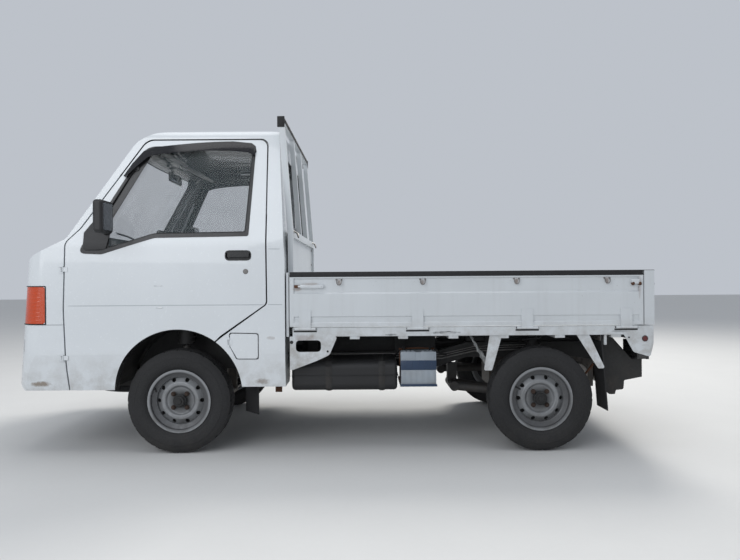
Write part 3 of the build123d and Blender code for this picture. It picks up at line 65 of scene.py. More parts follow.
DECK_Z = 0.65
SILL_Y = 0.724
WHEELS = (
    # body, X, side
    ("wheel_front_left", FRONT_AXLE_X, 1),
    ("wheel_front_right", FRONT_AXLE_X, -1),
    ("wheel_rear_left", REAR_AXLE_X, 1),
    ("wheel_rear_right", REAR_AXLE_X, -1),
)
SIDES = ((1, "left"), (-1, "right"))


def along(table, z):
    """Straight interpolation of a table of offset and height."""
    for (a0, z0), (a1, z1) in zip(table, table[1:]):
        if z <= z1:
            return a0 + (a1 - a0) * (z - z0) / (z1 - z0)
    return table[-1][0]


def skin_y(z):
    """Half width of the cab's outer skin at a height."""
    low, high, radius = SECTION_BEND
    if low < z < high:
        return HALF_WIDTH - (z - low) ** 2 / (2 * radius)
    return along(SECTION, z)


def nose_x(y, z):
    """Front of the cab's outer skin at a place across and a height."""
    r = BOW_R - along(FRONT_CURVE, z)
    return BOW_AXIS_X + sqrt(r * r - y * y)


# Node building for the materials
class Net:
    """Node tree of one material; an input takes a number, a colour or another node's output."""

    def __init__(self, name):
        self.mat = bpy.data.materials.new(name)
        self.mat.use_nodes = True
        self.tree = self.mat.node_tree
        texture = self.node("TexCoord")
        self.coord = texture["Object"]
        self.facing = texture["Normal"]

    def put(self, socket, value):
        if isinstance(value, bpy.types.NodeSocket):
            self.tree.links.new(value, socket)
        else:
            socket.default_value = value

    def node(self, kind, inputs=(), **settings):
        """New node with its settings and inputs; gives its outputs."""
        made = self.tree.nodes.new("ShaderNode" + kind)
        for key, value in settings.items():
            setattr(made, key, value)
        for key, value in dict(inputs).items():
            self.put(made.inputs[key], value)
        return made.outputs

    def shade(self, inputs):
        """Set the surface shader's inputs."""
        for key, value in inputs.items():
            self.put(self.tree.nodes["Principled BSDF"].inputs[key], value)

    def split(self, vector):
        parts = self.node("SeparateXYZ", {"Vector": vector})
        return parts["X"], parts["Y"], parts["Z"]

    def math(self, operation, *values, clamp=False):
        return self.node("Math", enumerate(values), operation=operation, use_clamp=clamp)["Value"]

    def times(self, a, b, clamp=False):
        return self.math("MULTIPLY", a, b, clamp=clamp)

    def plus(self, a, b, clamp=False):
        return self.math("ADD", a, b, clamp=clamp)

    def less(self, a, b):
        return self.math("LESS_THAN", a, b)

    def more(self, a, b):
        return self.math("GREATER_THAN", a, b)

    def ramp(self, value, from_low, from_high, to_low=0.0, to_high=1.0):
        """Clamped linear map."""
        return self.node("MapRange", {"Value": value, "From Min": from_low, "From Max": from_high,
                                      "To Min": to_low, "To Max": to_high})["Result"]

    def noise(self, scale, detail=6.0, roughness=0.5, at=None):
        return self.node("TexNoise", {"Scale": scale, "Detail": detail, "Roughness": roughness,
                                      "Vector": at or self.coord})["Fac"]

    def blend(self, factor, below, above):
        return self.node("Mix", {"A": below, "B": above, "Factor": factor}, data_type="RGBA")["Result"]

    def lay(self, factor, below, color):
        """Lay a plain colour over what is below."""
        return self.blend(factor, below, (*color, 1))

    def away(self, x, z, x0, z0, wide=1.0, high=1.0):
        """Square of the distance from a point in the side view, in half widths and half heights."""
        dx = self.math("DIVIDE", self.math("SUBTRACT", x, x0), wide)
        dz = self.math("DIVIDE", self.math("SUBTRACT", z, z0), high)
        return self.plus(self.times(dx, dx), self.times(dz, dz))

    def relief(self, height, strength, distance):
        bump = self.node("Bump", {"Height": height, "Strength": strength, "Distance": distance})
        self.shade({"Normal": bump["Normal"]})


def cab_inside_shade(net, below):
    """Painted shade on the cab's inner faces: side walls, ceiling and back wall are laid near-black for the
    dim interior.
    """
    x, y, z = net.split(net.coord)
    nx, ny, nz = net.split(net.facing)
    inward = net.times(ny, net.math("SIGN", y))
    walls = net.times(net.less(inward, -0.3), net.more(z, 0.6))
    ceiling = net.times(net.less(nz, -0.45), net.more(z, 1.45))
    back = net.times(net.more(nx, 0.5), net.less(x, 0.36))
    # near-black over the inner faces: painted shade of the cab's interior
    return net.lay(net.plus(net.plus(walls, ceiling), back, clamp=True), below, (0.05, 0.053, 0.058))


def housing_sides(net, below):
    """Black housing on every face of a tail lamp that doesn't look backwards."""
    facing_x = net.split(net.facing)[0]
    return net.lay(net.more(facing_x, -0.6), below, (0.014, 0.014, 0.015))


def hub_grime_and_valley_shade(net, below):
    """Brake dust in the middle of each wheel, and painted shade in the valley of its rim."""
    x, _, z = net.split(net.coord)
    reach = net.math("MINIMUM", *[net.math("SQRT", net.away(x, z, axle, TYRE_R))
                                  for axle in (FRONT_AXLE_X, REAR_AXLE_X)])
    grime = net.ramp(net.noise(26.0, 8.0, 0.65), 0.2, 0.7, 0.65, 1.0)
    below = net.lay(net.times(net.ramp(reach, 0.078, 0.036), grime), below, (0.035, 0.036, 0.036))
    # darker ring in the rim's valley: painted shade
    valley = net.times(net.ramp(reach, 0.118, 0.128), net.ramp(reach, 0.158, 0.15))
    return net.lay(net.times(valley, 0.75), below, (0.05, 0.05, 0.052))


def coloured(name, color, rough, metallic=0.0, bump=0.0, scale=40.0, vary=0.08, dirt=0.0, dirt_z=0.0,
        dirt_h=0.22, dirt_color=(0.2, 0.165, 0.12), coat=0.0, rough_vary=0.12, arch=False, marks=(),
        chips=0.0, flutes=0.0, streaks=0.0, layers=()):
    """Layered finish: colour drift, fine bump, roughness patches, dirt low down, and local marks, some of
    them painted shade and painted highlights of dents.
    """
    net = Net(name)
    x, y, z = net.split(net.coord)
    fine = net.noise(scale, 8.0)
    darker = [c * (1 - vary * 3) for c in color]
    last = net.blend(net.ramp(net.noise(3.0), 0.35, 0.85), (*color, 1), (*darker, 1))
    if streaks:
        stretched = net.node("Mapping", {"Vector": net.coord, "Scale": (38.0, 38.0, 2.2)})["Vector"]
        runs = net.ramp(net.noise(1.0, 5.0, at=stretched), 0.52, 0.8)
        last = net.lay(net.times(runs, streaks), last, dirt_color)
    if dirt:
        spots = net.ramp(net.noise(14.0, 10.0, 0.7), 0.4, 0.75)
        amount = net.plus(net.times(net.ramp(z, dirt_z + dirt_h, dirt_z), spots), 0.03)
        last = net.lay(net.times(amount, dirt, clamp=True), last, dirt_color)
    if chips:
        flecks = net.ramp(net.noise(85.0, 3.0, 0.6), 0.7, 0.73)
        patches = net.ramp(net.noise(4.0, 3.0), 0.5, 0.66)
        last = net.lay(net.times(net.times(flecks, patches), chips), last, (0.1, 0.05, 0.03))
    if marks:
        grain = net.times(net.noise(45.0, 6.0, 0.7), 1.9)
        near = net.more(y, 0.3)
    # Local marks: rust, dirt and scuffs, and painted shade and painted highlights of dents
    for x0, z0, wide, high, mark_color, strength in marks:
        inside = net.ramp(net.plus(net.away(x, z, x0, z0, wide, high), grain), 1.7, 1.05)
        last = net.lay(net.times(net.times(inside, near), strength), last, mark_color)
    for layer in layers:
        last = layer(net, last)
    if arch:
        cut = net.less(net.math("SQRT", net.away(x, z, ARCH_X, ARCH_Z)), ARCH_R + 0.0016)
        last = net.lay(cut, last, (0.012, 0.012, 0.012))
        coat = net.ramp(cut, 0.0, 1.0, coat, 0.0)
    roughness = net.ramp(fine, 0.3, 0.8, max(rough - rough_vary / 2, 0.02), min(rough + rough_vary, 1))
    net.shade({"Base Color": last, "Roughness": roughness, "Metallic": metallic, "Coat Weight": coat})
    height = fine
    if flutes:
        height = net.node("TexWave", {"Scale": flutes, "Vector": net.coord}, bands_direction="Z")["Fac"]
    if bump:
        net.relief(height, bump, 0.002)
    return net.mat


def clear_glass(name, tint, alpha, rough=0.02):
    """Thin glass: mostly clear, with a faint haze of dust."""
    net = Net(name)
    haze = net.ramp(net.noise(9.0, 7.0), 0.45, 0.9, alpha, min(alpha + 0.05, 1.0))
    net.shade({"Alpha": haze, "Base Color": (*tint, 1), "Roughness": rough, "IOR": 1.5})
    net.mat.blend_method = "BLEND"
    return net.mat


def fabric(name, color, thread=110.0):
    """Woven cloth: crossed threads from two wave textures, with sheen."""
    net = Net(name)
    threads = [net.node("TexWave", {"Vector": net.coord, "Scale": thread, "Distortion": 0.6},
                        bands_direction=direction)["Fac"] for direction in ("Y", "Z")]
    weave = net.times(*threads)
    worn = net.plus(net.times(weave, 0.5), net.noise(5.0), clamp=True)
    shaded = net.blend(worn, (*color, 1), (*[c * 0.6 for c in color], 1))
    net.shade({"Base Color": shaded, "Roughness": 0.85, "Sheen Weight": 0.35})
    net.relief(weave, 0.4, 0.001)
    return net.mat


# Local wear, and painted shade and painted highlights of dents, on the left side: X, Z, half width, half
# height, colour, strength
SCUFF_AND_DENT_SHADE = (0.05, 0.055, 0.06)
RUSTY = (0.16, 0.075, 0.035)
DENT_SHADE = (0.22, 0.24, 0.26)
PAINTED_HIGHLIGHT = (0.86, 0.87, 0.88)
CAB_MARKS = (
    # Two dents on the door: painted shade, each with a painted highlight
    (0.876, 0.872, 0.03, 0.0065, DENT_SHADE, 0.65),
    (0.876, 0.8725, 0.022, 0.0034, PAINTED_HIGHLIGHT, 0.9),
    (0.872, 0.759, 0.026, 0.0065, DENT_SHADE, 0.55),
    (0.872, 0.7605, 0.02, 0.0034, PAINTED_HIGHLIGHT, 0.9),
    (1.59, 0.56, 0.016, 0.05, SCUFF_AND_DENT_SHADE, 0.35),
    (1.604, 0.47, 0.01, 0.036, SCUFF_AND_DENT_SHADE, 0.3),
    (1.49, 0.37, 0.07, 0.018, (0.17, 0.12, 0.07), 0.8),
    (0.345, 0.375, 0.05, 0.02, (0.16, 0.11, 0.07), 0.6),
    (0.3, 0.6, 0.03, 0.012, RUSTY, 0.3),
)
BED_MARKS = (
    # Two dents on the sill: painted shade, the first with a painted highlight
    (-0.6, 0.621, 0.085, 0.01, SCUFF_AND_DENT_SHADE, 0.85),
    (-0.61, 0.619, 0.05, 0.003, PAINTED_HIGHLIGHT, 0.9),
    (-0.315, 0.612, 0.04, 0.007, SCUFF_AND_DENT_SHADE, 0.7),
    (0.13, 0.6, 0.08, 0.022, RUSTY, 0.35),
    (-0.051, 0.884, 0.014, 0.022, RUSTY, 0.7),
    (-0.483, 0.884, 0.014, 0.022, RUSTY, 0.65),
    (-0.967, 0.884, 0.014, 0.022, RUSTY, 0.65),
    (-1.434, 0.884, 0.014, 0.022, RUSTY, 0.6),
    (0.165, 0.85, 0.028, 0.016, RUSTY, 0.5),
    (0.1, 0.876, 0.06, 0.01, (0.3, 0.22, 0.17), 0.4),
    (-1.6, 0.85, 0.01, 0.07, RUSTY, 0.35),
    (-1.5, 0.622, 0.06, 0.008, SCUFF_AND_DENT_SHADE, 0.45),
)

WHITE = (0.66, 0.69, 0.71)
# The cab paint carries painted shade on its inner faces, laid near-black.
paint = coloured("paint_white", WHITE, 0.24, bump=0.004, scale=90.0, vary=0.015, dirt=0.55, dirt_z=0.33,
    coat=0.6, arch=True, marks=CAB_MARKS, streaks=0.015, rough_vary=0.06, layers=(cab_inside_shade,))
# Darker grey paint for the crease beads: painted shadow of the creases
crease_shadow_paint = coloured("paint_crease_shadow", (0.4, 0.43, 0.45), 0.3, bump=0.004, vary=0.02, dirt=0.3,
    dirt_z=0.33)
bed_paint = coloured("paint_bed", (0.61, 0.64, 0.66), 0.34, bump=0.02, scale=60.0, vary=0.03, dirt=0.7,
    dirt_z=0.58, dirt_h=0.12, coat=0.3, marks=BED_MARKS, chips=0.6, streaks=0.07)
floor_paint = coloured("paint_bed_floor", (0.42, 0.44, 0.45), 0.55, bump=0.25, scale=35.0, vary=0.14,
    dirt=0.9, dirt_z=0.6, chips=1.0)
underbody = coloured("chassis_black", (0.022, 0.022, 0.022), 0.62, bump=0.35, scale=70.0, vary=0.2,
    dirt=0.5, dirt_z=0.25, dirt_color=(0.085, 0.065, 0.05))
cast = coloured("cast_metal", (0.1, 0.095, 0.09), 0.6, metallic=0.6, bump=0.4, scale=80.0, vary=0.2,
    dirt=0.5, dirt_z=0.3)
steel = coloured("dull_steel", (0.28, 0.27, 0.26), 0.45, metallic=0.9, bump=0.2, scale=60.0, vary=0.15)
# The rims carry brake dust in their middles and painted shade in their valleys.
rim_silver = coloured("wheel_silver", (0.29, 0.3, 0.31), 0.46, metallic=0.4, bump=0.1, scale=60.0,
    vary=0.12, dirt=0.8, dirt_z=0.14, dirt_h=0.26, dirt_color=(0.07, 0.062, 0.052), chips=0.7,
    layers=(hub_grime_and_valley_shade,))
spare_silver = coloured("spare_silver", (0.3, 0.31, 0.32), 0.5, metallic=0.4, bump=0.2, vary=0.1,
    chips=1.0)
hub_dark = coloured("hub_dark", (0.03, 0.03, 0.03), 0.6, metallic=0.3, bump=0.4, scale=70.0, vary=0.25)
nut_brown = coloured("nut_brown", (0.055, 0.032, 0.022), 0.8, bump=0.5, scale=150.0, vary=0.3)
rust = coloured("rust_brown", (0.12, 0.05, 0.024), 0.85, bump=0.6, scale=120.0, vary=0.25)
tyre_rubber = coloured("tyre_rubber", (0.016, 0.016, 0.017), 0.78, bump=0.3, scale=160.0, vary=0.15,
    dirt=0.35, dirt_z=-0.05, dirt_color=(0.09, 0.08, 0.065))
black = coloured("black_plastic", (0.013, 0.013, 0.014), 0.5, bump=0.25, scale=220.0, vary=0.1)
satin_black = coloured("satin_black", (0.009, 0.009, 0.01), 0.3, bump=0.05, scale=120.0, vary=0.08)
rubber = coloured("black_rubber", (0.014, 0.014, 0.015), 0.72, bump=0.3, scale=180.0, vary=0.15)
grey = coloured("grey_plastic", (0.13, 0.135, 0.14), 0.55, bump=0.35, scale=260.0, vary=0.08)
pale_grey = coloured("pale_grey_plastic", (0.36, 0.36, 0.35), 0.5, bump=0.2, scale=200.0, vary=0.06)
worn_grey = coloured("worn_grey_plastic", (0.3, 0.31, 0.31), 0.6, bump=0.6, scale=30.0, vary=0.2,
    chips=1.0)
amber = coloured("amber_lens", (0.52, 0.055, 0.006), 0.22, bump=0.12, vary=0.06, coat=0.35, flutes=60.0)
red_lens = coloured("red_lens", (0.36, 0.008, 0.006), 0.14, bump=0.2, vary=0.05, coat=0.7, flutes=55.0,
    layers=(housing_sides,))
dark_red = coloured("dark_red_reflector", (0.1, 0.006, 0.006), 0.1, bump=0.3, vary=0.05, coat=1.0)
white_lens = coloured("white_lens", (0.7, 0.71, 0.72), 0.1, bump=0.3, coat=1.0, vary=0.02, flutes=55.0)
reflector = coloured("lamp_reflector", (0.8, 0.81, 0.82), 0.08, metallic=1.0, vary=0.02, rough_vary=0.05)
mirror_face = coloured("mirror_face", (0.16, 0.17, 0.18), 0.04, metallic=1.0, vary=0.03, rough_vary=0.02)
dial_face = coloured("dial_face", (0.02, 0.022, 0.025), 0.25, vary=0.1)
battery_blue = coloured("battery_blue", (0.018, 0.04, 0.085), 0.4, bump=0.1, vary=0.1)
battery_grey = coloured("battery_grey", (0.3, 0.34, 0.38), 0.45, bump=0.15, vary=0.1, dirt=0.4,
    dirt_z=0.3)
glass = clear_glass("window_glass", (0.1, 0.13, 0.14), 0.13)
lens_glass = clear_glass("lens_clear", (0.75, 0.78, 0.8), 0.25)
smoke = clear_glass("smoked_visor", (0.01, 0.01, 0.012), 0.86, rough=0.1)
seat_cloth = fabric("seat_cloth", (0.15, 0.16, 0.18))
seat_trim = coloured("seat_vinyl", (0.075, 0.08, 0.085), 0.55, bump=0.5, scale=300.0, vary=0.08)
webbing = fabric("belt_webbing", (0.035, 0.035, 0.037), 160.0)

NODE_MATERIALS = {
    "frame_rails": underbody, "frame_mounts": underbody, "frame_crossmembers": underbody,
    "front_suspension": underbody, "rack_housing": cast, "cab_floor": underbody, "cab_front": paint,
    "front_bumper": paint, "cab_roof": paint, "cab_back": paint, "cab_side_left": paint,
    "cab_side_right": paint, "windscreen": glass, "rear_window": glass, "headlamps": lens_glass,
    "turn_lamps": amber, "dashboard": grey, "steering_wheel": black, "seats": seat_cloth,
    "door_left": paint, "door_right": paint, "door_glass_left": glass, "door_glass_right": glass,
    "mirror_left": black, "mirror_right": black, "fuel_lid": paint, "bed_deck": bed_paint,
    "headboard": bed_paint, "guard_frame": bed_paint, "side_gate_left": bed_paint,
    "side_gate_right": bed_paint, "tail_gate": bed_paint, "tail_lamps": red_lens, "powertrain": cast,
    "exhaust": steel, "fuel_tank": black, "battery": battery_grey, "rear_bumper": underbody,
    "splash_guards": rubber, "rear_suspension": underbody, "knuckle_left": cast, "knuckle_right": cast,
    "steering_rack": steel, "spare_tyre": tyre_rubber, "spare_rim": spare_silver,
}
for body, *_ in WHEELS:
    NODE_MATERIALS["tyre" + body[5:]] = tyre_rubber
    NODE_MATERIALS["rim" + body[5:]] = rim_silver
for name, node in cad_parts.items():
    node.data.materials.clear()
    node.data.materials.append(NODE_MATERIALS[name])


# Mesh helpers
class Draft:
    """Mesh in the making: shapes are added to it, and piece() turns it into an object and starts anew."""

    def __init__(self):
        self.bm = bmesh.new()

    def vert(self, place):
        return self.bm.verts.new(place)

    def face(self, corners):
        return self.bm.faces.new(corners)

    def loop(self, a, b, close=True):
        """Faces between two rings of vertices."""
        count = len(a) if close else len(a) - 1
        for k in range(count):
            n = (k + 1) % len(a)
            self.face((a[k], a[n], b[n], b[k]))

    def skin(self, rows, close=True, ends=True):
        """Faces over a row of rings, with both ends shut where they are wanted."""
        for a, b in zip(rows, rows[1:]):
            self.loop(a, b, close)
        if ends:
            self.face(list(reversed(rows[0])))
            self.face(rows[-1])

    def box(self, low, high, bevel=0.0, turn=None):
        """Box between two corners with rounded edges, optionally turned about its centre."""
        pairs = [sorted(pair) for pair in zip(low, high)]
        size = [b - a for a, b in pairs]
        middle = Vector([(a + b) / 2 for a, b in pairs])
        made = bmesh.ops.create_cube(self.bm, size=1.0)["verts"]
        bmesh.ops.scale(self.bm, vec=size, verts=made)
        if bevel:
            edges = {e for v in made for e in v.link_edges}
            out = bmesh.ops.bevel(self.bm, geom=list(edges), offset=bevel, segments=2, affect="EDGES",
                profile=0.5)
            made = list({v for f in out["faces"] for v in f.verts} | {v for v in made if v.is_valid})
        place = Matrix.Translation(middle)
        if turn is not None:
            place = place @ turn
        bmesh.ops.transform(self.bm, matrix=place, verts=made)

    def tube(self, path, radius, segments=10, close=False, flat=1.0):
        """Tube swept along a list of points; flat squeezes it across its second axis."""
        points = [Vector(p) for p in path]
        rings = []
        count = len(points)
        up = Vector((0.13, 0.27, 0.95)).normalized()
        for i, p in enumerate(points):
            before = points[(i - 1) % count] if close or i else p
            after = points[(i + 1) % count] if close or i < count - 1 else p
            tangent = (after - before).normalized()
            across = tangent.cross(up)
            if across.length < 0.05:
                across = tangent.cross(Vector((1, 0, 0)))
            across.normalize()
            other = tangent.cross(across).normalized() * flat
            turns = [2 * pi * k / segments for k in range(segments)]
            rings.append([self.vert(p + radius * (cos(t) * across + sin(t) * other)) for t in turns])
        self.skin(rings, ends=not close)
        if close:
            self.loop(rings[-1], rings[0])

    def disc(self, centre, axis, radius, depth, segments=24, bevel=0.0, inner=0.0):
        """Short cylinder about an axis with a rounded rim, or a ring if it has an inner radius."""
        axis = Vector(axis).normalized()
        helper = Vector((0, 0, 1)) if abs(axis.z) < 0.9 else Vector((1, 0, 0))
        u = axis.cross(helper).normalized()
        v = axis.cross(u).normalized()
        c = Vector(centre)
        profile = [(radius, 0.0), (radius, depth - bevel), (radius - bevel, depth)]
        if inner:
            profile += [(inner, depth), (inner, 0.0)]
        turns = [2 * pi * k / segments for k in range(segments)]
        rings = [[self.vert(c + axis * h + r * (cos(t) * u + sin(t) * v)) for t in turns]
            for r, h in profile]
        for a, b in zip(rings, rings[1:]):
            self.loop(a, b)
        if inner:
            self.loop(rings[-1], rings[0])
        else:
            self.face(rings[-1])
            self.face(list(reversed(rings[0])))

    def bead(self, path, normals, width, height, steps=4):
        """Low rounded rib along a path, standing out along the given normals."""
        rows = []
        count = len(path)
        for i, (p, n) in enumerate(zip(path, normals)):
            p, n = Vector(p), Vector(n).normalized()
            before = Vector(path[i - 1]) if i else p
            after = Vector(path[i + 1]) if i < count - 1 else p
            across = (after - before).normalized().cross(n).normalized() * width / 2
            end = 0.15 if i in (0, count - 1) else 1.0
            turns = [2 * k / steps - 1 for k in range(steps + 1)]
            rows.append([self.vert(p + across * t + n * (height * end * (1 - t * t) - 0.0004))
                for t in turns])
        self.skin(rows, close=False, ends=False)

    def frame(self, outer, inner, place, low, high):
        """Closed frame between two matching outlines, from one height above a skin to another."""
        rows = []
        for a, b in zip(outer, inner):
            rows.append([self.vert(place(*p, h)) for p, h in ((a, low), (a, high), (b, high), (b, low))])
        for a, b in zip(rows, rows[1:] + rows[:1]):
            self.loop(a, b)

    def plate(self, outline, place, low, high):
        """Plate with a closed outline, from one height above a skin to another."""
        bottom = [self.vert(place(*p, low)) for p in outline]
        top = [self.vert(place(*p, high)) for p in outline]
        self.skin((bottom, top))

    def piece(self, name, material, slot, body="vehicle", smooth=0.5, replaces=()):
        """Turn the mesh into an object that rides on a body."""
        bmesh.ops.recalc_face_normals(self.bm, faces=self.bm.faces)
        mesh = bpy.data.meshes.new(name)
        self.bm.to_mesh(mesh)
        self.bm.free()
        self.bm = bmesh.new()
        obj = bpy.data.objects.new(name, mesh)
        bpy.context.collection.objects.link(obj)
        mesh.materials.append(material)
        mesh.shade_smooth()
        mesh.set_sharp_from_angle(angle=smooth)
        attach(obj, body)
        if replaces:
            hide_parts(*replaces)
        return obj


draft = Draft()


def rounded(table, steps=5, runs=1):
    """Closed outline with arcs at its corners, its straight runs cut into equal parts."""
    arcs = []
    count = len(table)
    for i, (x, z, r) in enumerate(table):
        p = Vector((x, z))
        a = Vector(table[i - 1][:2]) - p
        b = Vector(table[(i + 1) % count][:2]) - p
        cosine = max(-0.9999, min(0.9999, a.normalized().dot(b.normalized())))
        tangent = min(r * sqrt((1 + cosine) / (1 - cosine)), a.length * 0.49, b.length * 0.49)
        start, end = p + a.normalized() * tangent, p + b.normalized() * tangent
        turns = [k / steps for k in range(steps + 1)] if r > 0 else [0.5]
        arcs.append([start * (1 - t) ** 2 + p * 2 * t * (1 - t) + end * t * t for t in turns])
    out = []
    for arc, after in zip(arcs, arcs[1:] + arcs[:1]):
        out += arc
        out += [arc[-1].lerp(after[0], k / runs) for k in range(1, runs)]
    return [(p.x, p.y) for p in out]


def rectangle(x_range, z_range, radius=0.0):
    (x0, x1), (z0, z1) = x_range, z_range
    return ((x0, z0, radius), (x1, z0, radius), (x1, z1, radius), (x0, z1, radius))


def moved(table, grow):
    """Outline with each point moved away from the middle by the same step."""
    mid_x = sum(row[0] for row in table) / len(table)
    mid_z = sum(row[1] for row in table) / len(table)
    return [(x + (grow if x > mid_x else -grow), z + (grow if z > mid_z else -grow),
             max(r + grow, 0.0005) if r > 0 else 0)
            for x, z, r in table]


def mirrored(table):
    """Closed outline across the middle from its left half."""
    return list(table) + [(-y, z, r) for y, z, r in reversed(table)]


def cab_side(side):
    """Placer on the cab's side skin."""
    return lambda x, z, out: (x, side * (skin_y(z) + out), z)


def flat_side(side, y):
    """Placer on a plane across the vehicle."""
    return lambda x, z, out: (x, side * (y + out), z)


def nose_skin(y, z, out):
    """Placer on the cab's front skin."""
    return (nose_x(y, z) + out, y, z)


def rear_face(x):
    """Placer on a plane that faces backwards."""
    return lambda y, z, out: (x - out, y, z)


def surface_hit(names, start, direction):
    """Nearest place and normal where a ray meets the named nodes."""
    best = None
    for name in names:
        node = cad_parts[name]
        back = node.matrix_world.inverted()
        heading = (back.to_3x3() @ Vector(direction)).normalized()
        hit, place, normal = node.ray_cast(back @ Vector(start), heading)[:3]
        if hit:
            place = node.matrix_world @ place
            gap = (place - Vector(start)).length
            if best is None or gap < best[0]:
                best = (gap, place, (node.matrix_world.to_3x3() @ normal).normalized())
    return best


# Camera at the photograph's place, floor and soft light
PHOTO_WIDTH = 740.0
PHOTO_FOCUS = 650.0
CAMERA_PLACE = (-0.211, 4.077, 0.895)
CAMERA_ROLL = radians(-0.4)
SENSOR = 36.0
FLOOR_REACH = 30.0
AMBIENT = ((0.82, 0.87, 0.95, 1), 0.62)
LAMPS = (
    # name, place, target, size, power, colour
    ("key_far", (-2.5, -4.5, 6.5), (0, 0, 0.5), 3.0, 430, (1.0, 0.97, 0.92)),
    ("fill_near", (3.5, 6.0, 3.5), (0, 0, 0.7), 5.0, 190, (0.95, 0.97, 1.0)),
    ("top", (0, 0.5, 6.5), (0, 0, 0), 5.0, 120, (1, 1, 1)),
)
cam_data = bpy.data.cameras.new("camera")
cam_data.sensor_width = SENSOR
cam_data.lens = PHOTO_FOCUS / PHOTO_WIDTH * SENSOR
cam_data.clip_end = 200.0
cam = bpy.data.objects.new("camera", cam_data)
bpy.context.collection.objects.link(cam)
cam.matrix_world = (Matrix.Translation(CAMERA_PLACE) @ Matrix.Rotation(pi, 4, "Z")
                    @ Matrix.Rotation(pi / 2, 4, "X") @ Matrix.Rotation(CAMERA_ROLL, 4, "Z"))
bpy.context.scene.camera = cam

corners = [(x * FLOOR_REACH, y * FLOOR_REACH, 0) for x, y in ((-1, -1), (1, -1), (1, 1), (-1, 1))]
floor_mesh = bpy.data.meshes.new("floor")
floor_mesh.from_pydata(corners, [], [(0, 1, 2, 3)])
floor = bpy.data.objects.new("floor", floor_mesh)
bpy.context.collection.objects.link(floor)
floor_mesh.materials.append(coloured("floor_pale", (0.6, 0.6, 0.59), 0.8, bump=0.05, vary=0.01))

world = bpy.data.worlds.new("studio")
bpy.context.scene.world = world
world.use_nodes = True
for key, value in zip(("Color", "Strength"), AMBIENT):
    world.node_tree.nodes["Background"].inputs[key].default_value = value
for name, place, target, size, power, color in LAMPS:
    data = bpy.data.lights.new(name, "AREA")
    data.size = size
    data.energy = power
    data.color = color
    obj = bpy.data.objects.new(name, data)
    bpy.context.collection.objects.link(obj)
    aim = (Vector(target) - Vector(place)).to_track_quat("-Z", "Y")
    obj.matrix_world = Matrix.Translation(place) @ aim.to_matrix().to_4x4()
bpy.context.scene.view_settings.view_transform = "Standard"

# Tyres with tread blocks and moulded sidewalls
TYRE_PROFILE = (
    # radius, across
    (0.1533, 0.044), (0.1545, 0.0503), (0.165, 0.0508), (0.1672, 0.053), (0.17, 0.0562), (0.178, 0.064),
    (0.1815, 0.0658), (0.1826, 0.065), (0.19, 0.0682), (0.2, 0.0702), (0.213, 0.0708), (0.225, 0.07),
    (0.2262, 0.0706), (0.2275, 0.0696), (0.237, 0.0678), (0.248, 0.0645), (0.256, 0.06),
)
TREAD_TOP = 0.27
TREAD_FLOOR = 0.2635
GROOVES_Y = (-0.03, -0.0105, 0.0105, 0.03)
GROOVE_W = 0.0052
TREAD_HALF = 0.0545
TREAD_STEPS = 144


def tread_radius(y, step):
    """Outer radius of the tread across its width, with a crown, grooves and sipes."""
    if any(abs(y - groove) < GROOVE_W / 2 for groove in GROOVES_Y):
        return TREAD_FLOOR
    if abs(y) > 0.03 and (step + (3 if y < 0 else 0)) % 6 == 0:
        return TREAD_FLOOR + 0.001
    if 0.0135 < abs(y) < 0.03 and (step + (2 if y > 0 else 0)) % 6 == 0:
        return TREAD_FLOOR + 0.002
    return TREAD_TOP - 0.0035 * (abs(y) / TREAD_HALF) ** 2.5


def build_tyre(name, place, body, node):
    """Tyre mesh: sidewalls with fine rings, shoulder lugs, and a grooved tread."""
    across = [-TREAD_HALF]
    for groove in GROOVES_Y:
        across += [groove + w for w in (-GROOVE_W / 2 - 0.0002, 0.0006 - GROOVE_W / 2,
            GROOVE_W / 2 - 0.0006, GROOVE_W / 2 + 0.0002)]
    across.append(TREAD_HALF)
    rings = []
    for k in range(TREAD_STEPS * 2):
        step, half = divmod(k, 2)
        angle = 2 * pi * (step + 0.28 * half) / TREAD_STEPS
        row = [(r, -y) for r, y in TYRE_PROFILE]
        row += [(tread_radius(y, step + half), y) for y in across]
        row += reversed(TYRE_PROFILE)
        rings.append([draft.vert((r * cos(angle), y, r * sin(angle))) for r, y in row])
    for a, b in zip(rings, rings[1:] + rings[:1]):
        draft.loop(a, b, close=False)
    bmesh.ops.transform(draft.bm, matrix=place, verts=draft.bm.verts)
    draft.piece(name, tyre_rubber, "tyre", body, replaces=(node,))


for body, x, side in WHEELS:
    turn = Matrix.Identity(4) if side > 0 else Matrix.Rotation(pi, 4, "Z")
    build_tyre("tread_" + body[6:], Matrix.Translation((x, side * WHEEL_Y, TYRE_R)) @ turn, body,
        "tyre" + body[5:])
build_tyre("tread_spare", Matrix.Translation((1.225, 0, 0.312)) @ Matrix.Rotation(pi / 2, 4, "X"),
    "vehicle", "spare_tyre")

